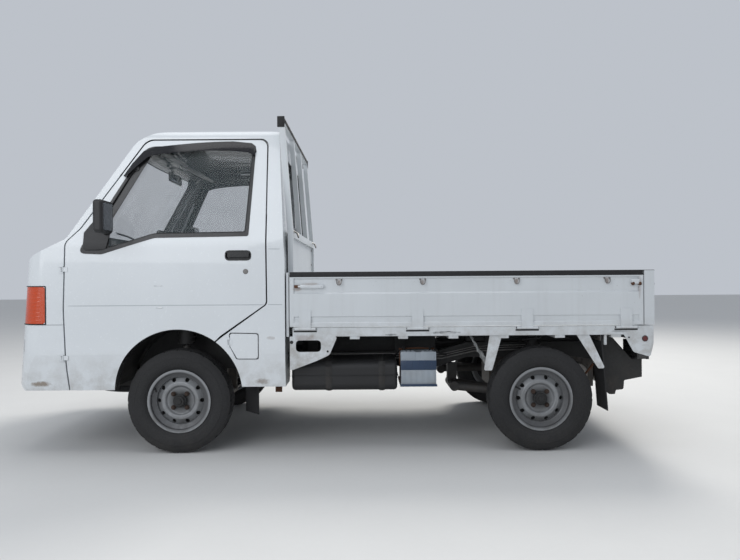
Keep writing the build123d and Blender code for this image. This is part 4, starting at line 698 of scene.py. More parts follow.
# Wheel centres: rusty nuts, hub caps and valves
for body, x, side in WHEELS:
    rim = "rim" + body[5:]
    centre = Vector((x, side * 1.2, TYRE_R))
    aim = (0, -side, 0)
    for k in range(4):
        turn = pi / 4 + k * pi / 2
        at = centre + 0.05 * Vector((cos(turn), 0, sin(turn)))
        place = surface_hit((rim,), at, aim)[1]
        draft.disc(place - Vector((0, side * 0.002, 0)), (0, side, 0), 0.0128, 0.003, 16, 0.001)
        draft.disc(place, (0, side, 0), 0.01, 0.0105, 6, 0.0015)
        draft.disc(place + Vector((0, side * 0.01, 0)), (0, side, 0), 0.0052, 0.004, 10, 0.001)
    draft.piece("nuts_" + body[6:], nut_brown, "steel_rim", body, smooth=0.4)
    hub = surface_hit((rim,), centre + Vector((0.012, 0, 0)), aim)[1]
    hub.x = x
    for radius, depth, low in ((0.0325, 0.006, -0.001), (0.027, 0.011, 0.003), (0.015, 0.016, 0.004)):
        draft.disc(hub + Vector((0, side * low, 0)), (0, side, 0), radius, depth, 32, 0.002)
    draft.piece("hub_cap_" + body[6:], hub_dark, "cast", body)
    foot = surface_hit((rim,), centre + Vector((0.128, 0, 0.062)), aim)[1]
    draft.tube((foot, foot + Vector((-0.004, side * 0.012, -0.002)),
        foot + Vector((-0.012, side * 0.026, -0.006))), 0.0042, 8)
    draft.tube((foot + Vector((-0.012, side * 0.026, -0.006)),
        foot + Vector((-0.015, side * 0.032, -0.0075))), 0.0052, 8)
    draft.piece("valve_" + body[6:], rubber, "rubber", body, smooth=0.6)

# Doors from outside: window surrounds, visors, handles, locks, painted crease shadows and mirrors
DOOR_WINDOW = (
    # X, Z, corner radius
    (1.262, 1.056, 0.012), (1.172, 1.056, 0.06), (0.905, 1.14, 0.12), (0.43, 1.146, 0.014),
    (0.402, 1.604, 0.055), (0.968, 1.604, 0.09),
)
SURROUND = (
    (1.291, 1.041, 0.026), (1.168, 1.036, 0.06), (0.899, 1.119, 0.12), (0.414, 1.125, 0.014),
    (0.388, 1.617, 0.058), (0.973, 1.613, 0.095),
)
VISOR = (
    # outer edge X and Z, inner edge X and Z
    (0.386, 1.58, 0.397, 1.556), (0.391, 1.61, 0.414, 1.566), (0.412, 1.628, 0.43, 1.574),
    (0.511, 1.639, 0.511, 1.582), (0.61, 1.637, 0.608, 1.585), (0.701, 1.632, 0.697, 1.584),
    (0.821, 1.621, 0.812, 1.576), (0.925, 1.61, 0.905, 1.566), (0.985, 1.588, 0.955, 1.552),
    (1.042, 1.518, 1.012, 1.5), (1.082, 1.452, 1.066, 1.444),
)
PILLAR_SAIL = (
    (1.26, 1.05, 0.01), (1.135, 1.056, 0.012), (1.128, 1.215, 0.06), (0.938, 1.574, 0.04),
    (0.972, 1.598, 0.02),
)
HANDLE = rectangle((0.403, 0.53), (1.004, 1.048), 0.02)
PADDLE = rectangle((0.4108, 0.5222), (1.0176, 1.0464), 0.006)
MIRROR = rectangle((0.772, 0.895), (1.147, 1.291), 0.018)
QUARTER_CREASES = (
    ((0.24, 0.772), (0.278, 0.772), (0.316, 0.772)),
    ((0.25, 1.058), (0.28, 1.058), (0.312, 1.058)),
)
for side, hand in SIDES:
    door = hand + "_door"
    skin = cab_side(side)
    outer = rounded(SURROUND, 5, 8)
    inner = rounded(DOOR_WINDOW, 5, 8)
    draft.frame(outer, inner, skin, -0.003, 0.0013)
    draft.piece("window_surround_" + hand, satin_black, "rubber", door)
    draft.frame(inner, rounded(moved(DOOR_WINDOW, -0.0045), 5, 8), skin, -0.0195, 0.0022)
    draft.piece("window_rubber_" + hand, rubber, "rubber", door)
    rows = []
    for x0, z0, x1, z1 in VISOR:
        mid = ((x0 + x1) / 2, (z0 + z1) / 2)
        section = ((x0, z0, 0.0012), (*mid, 0.011), (x1, z1, 0.017), (x1, z1, 0.0145), (*mid, 0.0085),
                   (x0, z0, -0.001))
        rows.append([draft.vert(skin(*p)) for p in section])
    draft.skin(rows)
    draft.piece("rain_visor_" + hand, smoke, "glass", door)
    draft.frame(rounded(moved(HANDLE, 0.0045), 5, 1), rounded(HANDLE, 5, 1), skin, -0.002, 0.0015)
    draft.frame(rounded(HANDLE, 5, 1), rounded(moved(HANDLE, -0.001), 5, 1), skin, -0.0215, 0.0012)
    draft.plate(rounded(moved(HANDLE, -0.0006), 5, 1), skin, -0.0225, -0.0212)
    draft.plate(rounded(PADDLE, 4, 1), skin, -0.0212, -0.0008)
    draft.piece("door_handle_" + hand, satin_black, "black_plastic", door)
    lock = Vector((0.428, side * (skin_y(0.943) - 0.0008), 0.943))
    draft.disc(lock, (0, side, 0), 0.0135, 0.0028, 28, 0.0012)
    draft.disc(lock + Vector((0, side * 0.0026, 0)), (0, side, 0), 0.009, 0.0022, 24, 0.001)
    draft.box(lock + Vector((-0.0012, side * 0.0044, -0.005)),
        lock + Vector((0.0012, side * 0.0056, 0.005)), 0.0003)
    draft.piece("door_lock_" + hand, steel, "steel", door)
    draft.plate(rounded(PILLAR_SAIL, 4, 6), skin, -0.0085, -0.0035)
    draft.box((1.15, side * (skin_y(1.075) - 0.0045), 1.066),
        (1.24, side * (skin_y(1.075) - 0.0025), 1.0675))
    draft.piece("pillar_sail_" + hand, satin_black, "black_plastic", door)
    # Thin dark beads along the crease lines of the door and the quarter: painted shadow of the creases
    crease = [(x / 1000, 0.772) for x in range(335, 1345, 56)]
    draft.bead([skin(x, z, 0.0003) for x, z in crease], [(0, side, 0)] * len(crease), 0.005, 0.0007)
    draft.piece("door_crease_shadow_" + hand, crease_shadow_paint, "body_white", door, smooth=0.7)
    for table in QUARTER_CREASES:
        draft.bead([skin(x, z, 0.0003) for x, z in table], [(0, side, 0)] * 3, 0.005, 0.0007)
    draft.piece("quarter_crease_shadow_" + hand, crease_shadow_paint, "body_white", smooth=0.7)

    # Mirror: face, rim and arm boots
    face = [(side * y, z, r) for y, z, r in MIRROR]
    draft.plate(rounded(moved(face, -0.004), 5, 1), rear_face(1.0942), -0.001, 0.0005)
    draft.piece("mirror_face_" + hand, mirror_face, "glass", door)
    draft.frame(rounded(moved(face, 0.0005), 5, 1), rounded(moved(face, -0.004), 5, 1), rear_face(1.0942),
        -0.002, 0.0)
    shank = Vector((-0.052, side * 0.14, 0.054)).normalized()
    for start, radius in ((0.052, 0.0175), (0.06, 0.016), (0.068, 0.0175), (0.128, 0.0165)):
        draft.disc(Vector((1.176, side * 0.65, 1.118)) + shank * start, shank, radius, 0.006, 20, 0.002)
    draft.piece("mirror_rim_" + hand, black, "black_plastic", door)

# Windscreen and rear window rubbers, set on the cab's skin
CAB_SKIN = ("cab_front", "cab_roof", "cab_back", "cab_side_left", "cab_side_right", "windscreen",
    "rear_window")
WINDOWS = (
    # name, outline, start and heading of the search along X
    ("windscreen_rubber", WINDSCREEN, 3.0, -1),
    ("rear_window_rubber", REAR_WINDOW, -1.0, 1),
)
for name, table, start_x, toward in WINDOWS:
    outline = rounded(moved(mirrored(table), 0.004), 6, 14)
    path = []
    for y, z in outline:
        found = surface_hit(CAB_SKIN, (start_x, y, z), (toward, 0, 0))
        if found:
            path.append(found[1] + found[2] * 0.001)
    draft.tube(path, 0.0085, 8, close=True, flat=0.8)
    draft.piece(name, rubber, "rubber", smooth=0.8)

# Wipers, parked low on the windscreen
for name, pivot_y, tip_y in (("wiper_left", 0.05, 0.56), ("wiper_right", -0.47, 0.02)):
    _, base, lift = surface_hit(CAB_SKIN, (3.0, pivot_y, 1.14), (-1, 0, 0))
    draft.disc(base - lift * 0.002, lift, 0.017, 0.016, 18, 0.004)
    arm, blade = [], []
    for k in range(13):
        t = k / 12
        y = pivot_y + (tip_y - pivot_y) * t
        z = 1.14 + 0.052 * t + 0.012 * sin(pi * t)
        _, at, normal = surface_hit(CAB_SKIN, (3.0, y, z), (-1, 0, 0))
        if t < 0.62:
            arm.append(at + normal * (0.014 + 0.01 * sin(pi * t / 0.62)))
        if t > 0.18:
            blade.append(at + normal * 0.0065)
    draft.tube(arm, 0.0045, 6)
    draft.tube([arm[-1], arm[-1] * 0.35 + blade[6] * 0.65], 0.004, 6)
    draft.tube(blade, 0.0042, 6, flat=1.4)
    for k in (1, 4, 8):
        after = blade[min(k + 1, 10)]
        draft.tube([blade[k] + lift * 0.004, blade[k] + lift * 0.009, after + lift * 0.009], 0.003, 6)
    draft.piece(name, satin_black, "black_plastic")

# Front face: grille slats, lamp bowls, bulbs and frames
panel = [(y, z) for y, z in rounded(mirrored(((0.372, 0.735, 0.012), (0.372, 0.832, 0.012))), 4, 10)]
draft.plate(panel, nose_skin, -0.006, 0.0012)
for z in (0.75, 0.767, 0.784, 0.801, 0.818):
    path = [nose_skin(y, z, 0.0008) for y in [k * 0.045 - 0.36 for k in range(17)]]
    draft.bead(path, [(1, 0, 0)] * len(path), 0.009, 0.0085)
draft.piece("front_grille", satin_black, "black_plastic")
HEADLAMP = ((0.395, 0.712, 0.025), (0.598, 0.712, 0.03), (0.598, 0.862, 0.03), (0.41, 0.842, 0.03))
for side, hand in SIDES:
    lamp = [(side * y, z, r) for y, z, r in HEADLAMP]
    centre = Vector((0, side * 0.5, 0.782))
    outline = rounded(moved(lamp, -0.004), 4, 4)
    depths = ((1.0, -0.01), (0.8, -0.0165), (0.55, -0.0205), (0.18, -0.0225))
    rows = []
    for shrink, out in depths:
        rows.append([draft.vert(nose_skin(centre.y + (y - centre.y) * shrink,
            centre.z + (z - centre.z) * shrink, out)) for y, z in outline])
    draft.skin(rows, ends=False)
    draft.face(rows[-1])
    draft.piece("headlamp_bowl_" + hand, reflector, "lens", smooth=0.8)
    at = Vector(nose_skin(centre.y, centre.z, -0.021))
    draft.disc(at, (1, 0, 0), 0.012, 0.006, 20, 0.002)
    draft.disc(at + Vector((0.005, 0, 0)), (1, 0, 0), 0.006, 0.009, 16, 0.003)
    draft.piece("headlamp_bulb_" + hand, white_lens, "lens", smooth=0.6)
    draft.frame(rounded(moved(lamp, 0.004), 4, 4), rounded(moved(lamp, -0.005), 4, 4), nose_skin, -0.003,
        0.0018)
    draft.piece("headlamp_frame_" + hand, black, "black_plastic")

# Corner lamps: lens bars and a dark rim
for side, hand in SIDES:
    for k in range(9):
        z = 0.697 + k * 0.0195
        path = []
        for x in (1.478, 1.5, 1.525, 1.55, 1.572):
            found = surface_hit(("turn_lamps",), (x, side * 1.2, z), (0, -side, 0))
            if found:
                path.append(found[1])
        if len(path) > 2:
            draft.bead(path, [(0, side, 0)] * len(path), 0.013, 0.0022)
    draft.piece("corner_lens_" + hand, amber, "amber", smooth=0.8)
    for z in (0.6785, 0.8735):
        around = []
        for k in range(22):
            x = 1.4575 + k * 0.0105
            hit = surface_hit(("cab_front", "turn_lamps"), (x, side * 1.2, z), (0, -side, 0))
            if hit and abs(hit[1].y) > 0.6:
                around.append(hit[1] + hit[2] * 0.0006)
        draft.tube(around, 0.0034, 8, flat=0.7)
    upright = [cab_side(side)(1.4575, 0.6785 + k * 0.0325, 0.0006) for k in range(7)]
    draft.tube(upright, 0.0034, 8, flat=0.7)
    draft.piece("corner_lamp_rim_" + hand, rubber, "rubber")

# Blank front plate on the leaning bumper, and two screws at each plate's place
PLATE_X = (1.6872, 1.6892)
PLATE_HALF = 0.165
PLATE_Z = (0.475, 0.64)
PLATE_SCREW_Y = 0.105
SCREWS = (
    # name, facing, X of the head, X range of its slot, height
    ("front_plate_screws", 1, 1.6892, (1.6922, 1.6928), 0.585),
    ("rear_plate_screws", -1, -1.6722, (-1.6755, -1.676), 0.596),
)
lean = Matrix.Rotation(-0.073, 4, "Y")
draft.box((PLATE_X[0], -PLATE_HALF, PLATE_Z[0]), (PLATE_X[1], PLATE_HALF, PLATE_Z[1]), 0.0008, lean)
for y in (-0.158, 0.158):
    draft.box((PLATE_X[0], y - 0.003, PLATE_Z[0] + 0.012), (PLATE_X[1] + 0.0012, y + 0.003,
        PLATE_Z[1] - 0.012), 0.0005, lean)
draft.piece("front_plate", white_lens, "body_white")
for name, face, head_x, slot_x, z in SCREWS:
    for y in (-PLATE_SCREW_Y, PLATE_SCREW_Y):
        draft.disc((head_x, y, z), (face, 0, 0), 0.008, 0.003, 20, 0.0012)
        draft.box((slot_x[0], y - 0.005, z - 0.0008), (slot_x[1], y + 0.005, z + 0.0008), 0.0002)
    draft.piece(name, steel, "steel")

# Side gates: rubber caps, latches, hooks, black hinge pin heads and strips as painted hinge shadow, and
# inner ribs
GATE_HINGES = (0.125, -0.455, -1.02, -1.53)
for side, hand in SIDES:
    gate = hand + "_gate"
    y_out, y_in = side * (GATE_Y + 0.0014), side * (GATE_Y - GATE_T - 0.0014)
    draft.box((GATE_X[0] + 0.001, y_out, GATE_TOP_Z - 0.024),
        (GATE_X[1] - 0.001, side * (GATE_Y - 0.003), GATE_TOP_Z + 0.0005), 0.0012)
    draft.box((GATE_X[0] + 0.001, y_in, GATE_TOP_Z - 0.024), (GATE_X[1] - 0.001,
        side * (GATE_Y - GATE_T + 0.003), GATE_TOP_Z + 0.0005), 0.0012)
    draft.box((GATE_X[0] + 0.001, y_out, GATE_TOP_Z - 0.0015),
        (GATE_X[1] - 0.001, y_in, GATE_TOP_Z + 0.0025), 0.0016)
    for k in range(7):
        x = GATE_X[0] + 0.06 + k * 0.284
        draft.disc((x, y_out - side * 0.0005, GATE_TOP_Z - 0.014), (0, side, 0), 0.0055, 0.002, 12,
            0.0008)
    draft.piece("gate_cap_" + hand, rubber, "rubber", gate)

    draft.box((0.028, side * (GATE_Y + 0.0005), 0.8535), (0.152, side * (GATE_Y + 0.0078), 0.8725),
        0.0028)
    draft.box((0.1, side * (GATE_Y + 0.006), 0.8585), (0.16, side * (GATE_Y + 0.01), 0.869), 0.0018)
    draft.disc((0.046, side * (GATE_Y + 0.007), 0.863), (0, side, 0), 0.0072, 0.003, 16, 0.001)
    draft.box((GATE_X[0] + 0.0085, side * (GATE_Y + 0.0003), 0.8665),
        (GATE_X[0] + 0.0615, side * (GATE_Y + 0.0068), 0.8915), 0.0024)
    draft.piece("gate_latches_" + hand, bed_paint, "body_white", gate)
    draft.box((0.146, side * (GATE_Y + 0.0008), 0.856), (0.18, side * (GATE_Y + 0.0086), 0.8715), 0.003)
    for x in (-1.565, -1.601):
        draft.disc((x, side * (GATE_Y + 0.004), 0.869), (0, side, 0), 0.0072, 0.0058, 14, 0.0016)
        draft.disc((x, side * (GATE_Y + 0.0005), 0.869), (0, side, 0), 0.0105, 0.004, 20, 0.001)
    draft.piece("latch_bolts_" + hand, rust, "steel", gate)

    y = side * (GATE_Y - 0.0068)
    for x in (-0.051, -0.483, -0.967, -1.434):
        path = [(x - 0.013, y, 0.8975), (x - 0.013, y + side * 0.0085, 0.894),
            (x - 0.012, y + side * 0.0125, 0.88), (x - 0.006, y + side * 0.0135, 0.871),
            (x + 0.006, y + side * 0.0135, 0.871), (x + 0.012, y + side * 0.0125, 0.88),
            (x + 0.013, y + side * 0.0085, 0.894), (x + 0.013, y, 0.8975)]
        draft.tube(path, 0.0026, 8)
        for end in (-0.013, 0.013):
            draft.disc((x + end, y - side * 0.0005, 0.8975), (0, side, 0), 0.0052, 0.0018, 14, 0.0006)
    draft.piece("rope_hooks_" + hand, steel, "steel", gate, smooth=0.6)

    # Black pin heads at each hinge's ends and a black strip below it: painted shadow of the hinges
    for x in GATE_HINGES:
        for end, out in ((-0.055, -1), (0.055, 1)):
            draft.disc((x + end, side * 0.732, 0.644), (out, 0, 0), 0.0052, 0.003, 14, 0.0012)
        draft.box((x - 0.06, side * (SILL_Y - 0.001), 0.6275),
            (x + 0.06, side * (SILL_Y + 0.0006), 0.636), 0.0003)
    draft.piece("hinge_shadows_" + hand, black, "rubber")

    inner_y = side * (GATE_Y - GATE_T)
    for z0, z1 in ((0.668, 0.686), (0.716, 0.734), (0.878, 0.896)):
        draft.box((GATE_X[0] + 0.05, inner_y, z0), (GATE_X[1] - 0.05, inner_y - side * 0.0035, z1),
            0.0016)
    for x in (-1.4, -1.02, -0.64, -0.26, 0.1):
        draft.box((x - 0.012, inner_y, 0.734), (x + 0.012, inner_y - side * 0.003, 0.878), 0.0014)
    draft.piece("gate_inner_ribs_" + hand, bed_paint, "body_white", gate)

# Tail gate: cap, latches, ribs
draft.box((TAIL_X - 0.0014, -0.726, GATE_TOP_Z - 0.024), (TAIL_X + 0.003, 0.726, GATE_TOP_Z + 0.0005),
    0.0012)
draft.box((-1.627, -0.726, GATE_TOP_Z - 0.024), (-1.6226, 0.726, GATE_TOP_Z + 0.0005), 0.0012)
draft.box((TAIL_X - 0.0014, -0.726, GATE_TOP_Z - 0.0015), (-1.6226, 0.726, GATE_TOP_Z + 0.0025), 0.0016)
for k in range(6):
    draft.disc((TAIL_X - 0.001, -0.66 + k * 0.264, GATE_TOP_Z - 0.014), (-1, 0, 0), 0.0055, 0.002, 12,
        0.0008)
draft.piece("tail_gate_cap", rubber, "rubber", "rear_gate")
for side in (1, -1):
    draft.box((-1.6965, side * 0.598, 0.846), (-1.69, side * 0.642, 0.886), 0.0024)
    draft.box((-1.6972, side * 0.56, 0.858), (-1.678, side * 0.604, 0.872), 0.0024)
    draft.box((-1.679, side * 0.64, 0.86), (-1.67, side * 0.7255, 0.87), 0.002)
    for z in (0.8435, 0.889):
        draft.disc((-1.6905, side * 0.62, z), (-1, 0, 0), 0.006, 0.0035, 12, 0.001)
draft.piece("tail_gate_latches", steel, "steel", "rear_gate")
for z0, z1 in ((0.668, 0.686), (0.716, 0.734), (0.878, 0.896)):
    draft.box((-1.624, -0.66, z0), (-1.6205, 0.66, z1), 0.0016)
for y in (-0.45, -0.15, 0.15, 0.45):
    draft.box((-1.624, y - 0.012, 0.734), (-1.621, y + 0.012, 0.878), 0.0014)
draft.piece("tail_gate_ribs", bed_paint, "body_white", "rear_gate")

# Bed floor: pressed ribs and drain holes
for k in range(17):
    y = -0.6 + k * 0.075
    draft.box((-1.59, y - 0.0145, DECK_Z - 0.001), (0.168, y + 0.0145, DECK_Z + 0.0042), 0.0024)
draft.piece("bed_floor_ribs", floor_paint, "body_white")
for x in (-1.5, -0.95, -0.4, 0.12):
    for y in (-0.5625, 0.5625):
        draft.disc((x, y, DECK_Z - 0.0006), (0, 0, 1), 0.01, 0.0012, 20, 0.0004)
draft.piece("bed_drains", black, "underbody")

# Headboard and guard frame: panel ribs, rubber pad on the top bar, stay hooks
for z in (0.705, 0.775, 0.845):
    draft.box((0.1865, -0.6, z - 0.014), (0.1905, 0.6, z + 0.014), 0.0022)
for y in (-0.62, -0.31, 0.0, 0.31, 0.62):
    draft.box((0.187, y - 0.009, 0.67), (0.1905, y + 0.009, 0.905), 0.0018)
draft.piece("headboard_ribs", bed_paint, "body_white")
lean = Matrix.Rotation(0.075, 4, "Y")
draft.box((0.2375, -0.6455, 1.7505), (0.2715, 0.6455, 1.7625), 0.0022)
draft.box((0.2355, -0.644, 1.738), (0.2395, 0.644, 1.759), 0.0012, lean)
for k in range(9):
    draft.disc((0.2345, -0.6 + k * 0.15, 1.747), (-1, 0, 0), 0.005, 0.002, 12, 0.0008)
for y in (-0.645, 0.645):
    draft.box((0.234, y - 0.003, 1.706), (0.2735, y + 0.003, 1.764), 0.0025)
draft.piece("guard_rubber", rubber, "rubber")
for y in (-0.56, 0.56):
    draft.tube([(0.196, y - 0.03, 1.16), (0.18, y - 0.028, 1.15), (0.174, y, 1.128),
        (0.18, y + 0.028, 1.15), (0.196, y + 0.03, 1.16)], 0.0045, 8)
    for z in (1.005, 1.105):
        draft.disc((0.2085, y, z), (-1, 0, 0), 0.0085, 0.004, 6, 0.001)
draft.piece("guard_hooks", steel, "steel", smooth=0.6)

def border(grid):
    """Vertices round the edge of a grid of vertices."""
    return grid[0] + [row[-1] for row in grid[1:]] + grid[-1][-2::-1] + [row[0] for row in grid[-2:0:-1]]


# Sill, skirt and stay details on both sides
SKIRT_HOLES = ((0.196, 0.576, 0.0095), (-1.6277, 0.584, 0.016), (0.01, 0.528, 0.006), (-1.545, 0.59, 0.005))
for side, hand in SIDES:
    for x, z, r in SKIRT_HOLES:
        draft.disc((x, side * (SILL_Y - 0.0005), z), (0, side, 0), r, 0.0024 if r > 0.01 else 0.0009, 24,
            0.0008)
    draft.piece("skirt_holes_" + hand, satin_black, "rubber")
    draft.disc((-1.6277, side * (SILL_Y + 0.0014), 0.584), (0, side, 0), 0.0128, 0.0022, 24, 0.001)
    draft.piece("side_reflector_" + hand, dark_red, "red_lens")
    draft.box((-1.4335, side * 0.69, 0.5515), (-1.4205, side * 0.7155, 0.6055), 0.0015)
    draft.disc((-1.427, side * 0.715, 0.564), (0, side, 0), 0.005, 0.0035, 6, 0.0008)
    for x in (-0.835, -0.81, -1.405):
        draft.disc((x, side * 0.7155, 0.44), (0, side, 0), 0.0048, 0.0032, 6, 0.0008)
    draft.piece("stay_bracket_" + hand, bed_paint, "body_white", smooth=0.4)

    # Torn splash sheet ahead of the rear wheel, folded and dented
    rows = []
    for i in range(27):
        t = i / 26
        row = []
        for j in range(23):
            s = j / 22
            crumple = 0.011 * sin(7.1 * t + 4.0 * s) * sin(9.3 * s + 1.3)
            crumple += 0.006 * sin(23.0 * t - 11.0 * s) + 0.004 * sin(31.0 * s + 17.0 * t)
            x = -0.742 - 0.092 * t + crumple * 0.7 + 0.006 * sin(5 * s)
            z = 0.596 - 0.162 * t + 0.01 * sin(6.0 * s) * t
            y = side * (0.688 - 0.12 * s + crumple * 1.2 * (1 - 0.4 * t))
            row.append((x, y, z))
        rows.append(row)
    front = [[draft.vert(p) for p in row] for row in rows]
    back = [[draft.vert((p[0] - 0.0022, p[1], p[2] - 0.0012)) for p in row] for row in rows]
    for sheet_rows in (front, back):
        draft.skin(sheet_rows, close=False, ends=False)
    draft.loop(border(front), border(back))
    draft.piece("splash_sheet_" + hand, worn_grey, "grey_plastic")

    # Tie ring behind the rear wheel
    ring_c = Vector((-1.392, side * 0.455, 0.3))
    draft.tube([ring_c + 0.026 * Vector((cos(k * pi / 12), 0, sin(k * pi / 12))) for k in range(24)],
        0.005, 8, close=True)
    draft.tube([ring_c + Vector((0, side * 0.008, 0.024)), ring_c + Vector((-0.01, side * 0.004, 0.06)),
        ring_c + Vector((-0.06, 0, 0.12))], 0.006, 8)
    draft.piece("tie_ring_" + hand, rust, "underbody", smooth=0.6)

    # Bolts and edge strips of the splash flaps
    for y in (0.585, 0.636, 0.687):
        draft.disc((-1.4035, side * y, 0.59), (1, 0, 0), 0.007, 0.004, 6, 0.001)
    draft.box((-1.4046, side * 0.565, 0.572), (-1.4016, side * 0.708, 0.6035), 0.001)
    draft.piece("flap_bolts_" + hand, steel, "steel", smooth=0.4)

# Rusty bracket under the cab's rear lower corner
for side, hand in SIDES:
    draft.box((0.262, side * 0.6, 0.3), (0.298, side * 0.604, 0.345), 0.001)
    draft.box((0.262, side * 0.56, 0.341), (0.298, side * 0.604, 0.345), 0.001)
    draft.disc((0.28, side * 0.603, 0.318), (0, side, 0), 0.0085, 0.006, 6, 0.001)
    draft.piece("tank_bracket_" + hand, rust, "underbody", smooth=0.4)

# Tail lamps: three lens segments, rim and screws
TAIL_RIM = (((0.4685, 0.6615), (0.4685, 0.5615)), ((0.474, 0.656), (0.474, 0.556)))
for side, hand in SIDES:
    for name, y0, y1, material, slot in (("red", 0.586, 0.656, red_lens, "red_lens"),
                                         ("amber", 0.528, 0.583, amber, "amber"),
                                         ("clear", 0.474, 0.525, white_lens, "lens")):
        draft.box((-1.6735, side * y0, 0.4745), (-1.67, side * y1, 0.5555), 0.0016)
        for k in range(8):
            z = 0.4815 + k * 0.0095
            path = [(-1.6733, side * (y0 + 0.004 + t * (y1 - y0 - 0.008) / 4), z) for t in range(5)]
            draft.bead(path, [(-1, 0, 0)] * 5, 0.007, 0.0012)
        draft.piece("tail_lens_" + name + "_" + hand, material, slot, smooth=0.6)
    edges = [[(side * y, z, r) for y, z, r in rectangle(*span, 0.004)] for span in TAIL_RIM]
    draft.frame(rounded(edges[0], 3, 2), rounded(edges[1], 3, 2), rear_face(-1.672), -0.012, 0.0022)
    for y in (0.5265, 0.5845):
        draft.disc((-1.6735, side * y, 0.515), (-1, 0, 0), 0.0034, 0.0022, 12, 0.0006)
    draft.piece("tail_lamp_rim_" + hand, black, "black_plastic")
    draft.box((-1.669, side * 0.6595, 0.478), (-1.618, side * 0.6625, 0.552), 0.0012)
    draft.piece("tail_lamp_side_" + hand, red_lens, "red_lens")

# Battery: caps, bands, clamp and cables
draft.box((-0.449, 0.6, 0.476), (-0.3695, 0.67, 0.5175), 0.004)
draft.box((-0.5475, 0.6, 0.476), (-0.475, 0.67, 0.5175), 0.004)
for x in (-0.5315, -0.5115, -0.491, -0.433, -0.412, -0.39):
    draft.disc((x, 0.635, 0.517), (0, 0, 1), 0.008, 0.0035, 14, 0.001)
draft.piece("battery_tops", battery_grey, "grey_plastic")
draft.box((-0.5565, 0.666, 0.4215), (-0.3695, 0.6705, 0.4715), 0.002)
draft.box((-0.558, 0.666, 0.336), (-0.368, 0.6768, 0.3475), 0.0015)
for x in (-0.53, -0.496, -0.462, -0.428, -0.394):
    draft.box((x - 0.002, 0.67, 0.4235), (x + 0.002, 0.6716, 0.4695), 0.0006)
draft.piece("battery_bands", battery_blue, "black_plastic")
draft.box((-0.5545, 0.666, 0.3485), (-0.3715, 0.669, 0.4205), 0.0012)
for k in range(6):
    draft.box((-0.545 + k * 0.0305, 0.6686, 0.354), (-0.526 + k * 0.0305, 0.67, 0.415), 0.0006)
draft.piece("battery_ribs", battery_grey, "grey_plastic")
draft.tube([(-0.548, 0.575, 0.334), (-0.548, 0.572, 0.5), (-0.545, 0.575, 0.5235), (-0.46, 0.578, 0.5275),
    (-0.375, 0.575, 0.5235), (-0.37, 0.572, 0.5), (-0.37, 0.575, 0.334)], 0.0045, 8)
for x in (-0.37, -0.548):
    draft.disc((x, 0.575, 0.5205), (0, 0, 1), 0.0075, 0.006, 6, 0.001)
draft.piece("battery_clamp", rust, "steel")
draft.tube([(-0.392, 0.612, 0.522), (-0.388, 0.59, 0.534), (-0.37, 0.56, 0.52), (-0.345, 0.5, 0.48),
    (-0.33, 0.42, 0.47), (-0.328, 0.352, 0.468)], 0.0055, 8)
draft.tube([(-0.526, 0.612, 0.522), (-0.532, 0.588, 0.536), (-0.56, 0.54, 0.52), (-0.6, 0.47, 0.48),
    (-0.64, 0.38, 0.47), (-0.642, 0.352, 0.468)], 0.0055, 8)
draft.piece("battery_cables", rubber, "rubber", smooth=0.6)

# Fuel tank: straps with bolts, seam flange, filler and breather hoses
for x in (-0.27, 0.01):
    section = [(0.352, 0.4715), (0.61, 0.4715), (0.64, 0.464), (0.6565, 0.44), (0.6575, 0.36),
        (0.65, 0.328), (0.624, 0.3115), (0.352, 0.3105)]
    normals = [(0, 0, 1), (0, 0.2, 1), (0, 0.7, 0.7), (0, 1, 0.2), (0, 1, -0.1), (0, 0.7, -0.7),
        (0, 0.2, -1), (0, 0, -1)]
    draft.bead([(x, y, z) for y, z in section], normals, 0.034, 0.0035, 3)
    draft.disc((x, 0.659, 0.4), (0, 1, 0), 0.008, 0.006, 6, 0.001)
draft.piece("tank_straps", underbody, "underbody")
draft.box((-0.357, 0.36, 0.3905), (0.204, 0.66, 0.3945), 0.0012)
draft.piece("tank_flange", black, "black_plastic")
draft.tube([(0.448, 0.69, 0.56), (0.44, 0.64, 0.545), (0.4, 0.6, 0.52), (0.3, 0.59, 0.5),
    (0.205, 0.58, 0.48), (0.16, 0.56, 0.462)], 0.019, 12)
draft.tube([(0.43, 0.69, 0.59), (0.41, 0.64, 0.585), (0.33, 0.6, 0.54), (0.2, 0.61, 0.5),
    (0.12, 0.6, 0.466)], 0.0075, 8)
draft.piece("filler_hoses", rubber, "rubber", smooth=0.6)

# Engine bay: block fins, bolts, sump, pulleys, pipes and heat shield
for k in range(9):
    draft.box((-1.5 + k * 0.034, -0.252, 0.3), (-1.486 + k * 0.034, 0.252, 0.48), 0.003)
for k in range(7):
    draft.box((-1.19, -0.132, 0.268 + k * 0.022), (-0.945, 0.132, 0.278 + k * 0.022), 0.003)
draft.box((-1.48, -0.2, 0.252), (-1.24, 0.2, 0.266), 0.006)
for x in (-1.47, -1.4, -1.33, -1.26):
    for y in (-0.19, 0.19):
        draft.disc((x, y, 0.253), (0, 0, -1), 0.007, 0.004, 6, 0.001)
draft.piece("engine_fins", cast, "cast", smooth=0.4)
for x, z, r in ((-1.42, 0.34, 0.062), (-1.33, 0.44, 0.036), (-1.24, 0.47, 0.03)):
    draft.disc((x, 0.252, z), (0, 1, 0), r, 0.022, 28, 0.003, inner=r * 0.35)
    draft.disc((x, 0.252, z), (0, 1, 0), r * 0.3, 0.028, 16, 0.003)
draft.piece("engine_pulleys", steel, "steel")
draft.tube([(-1.5, 0.18, 0.5), (-1.3, 0.25, 0.53), (-1.05, 0.265, 0.54), (-0.7, 0.27, 0.53),
    (-0.3, 0.27, 0.52), (0.3, 0.265, 0.5), (0.64, 0.262, 0.48)], 0.016, 10)
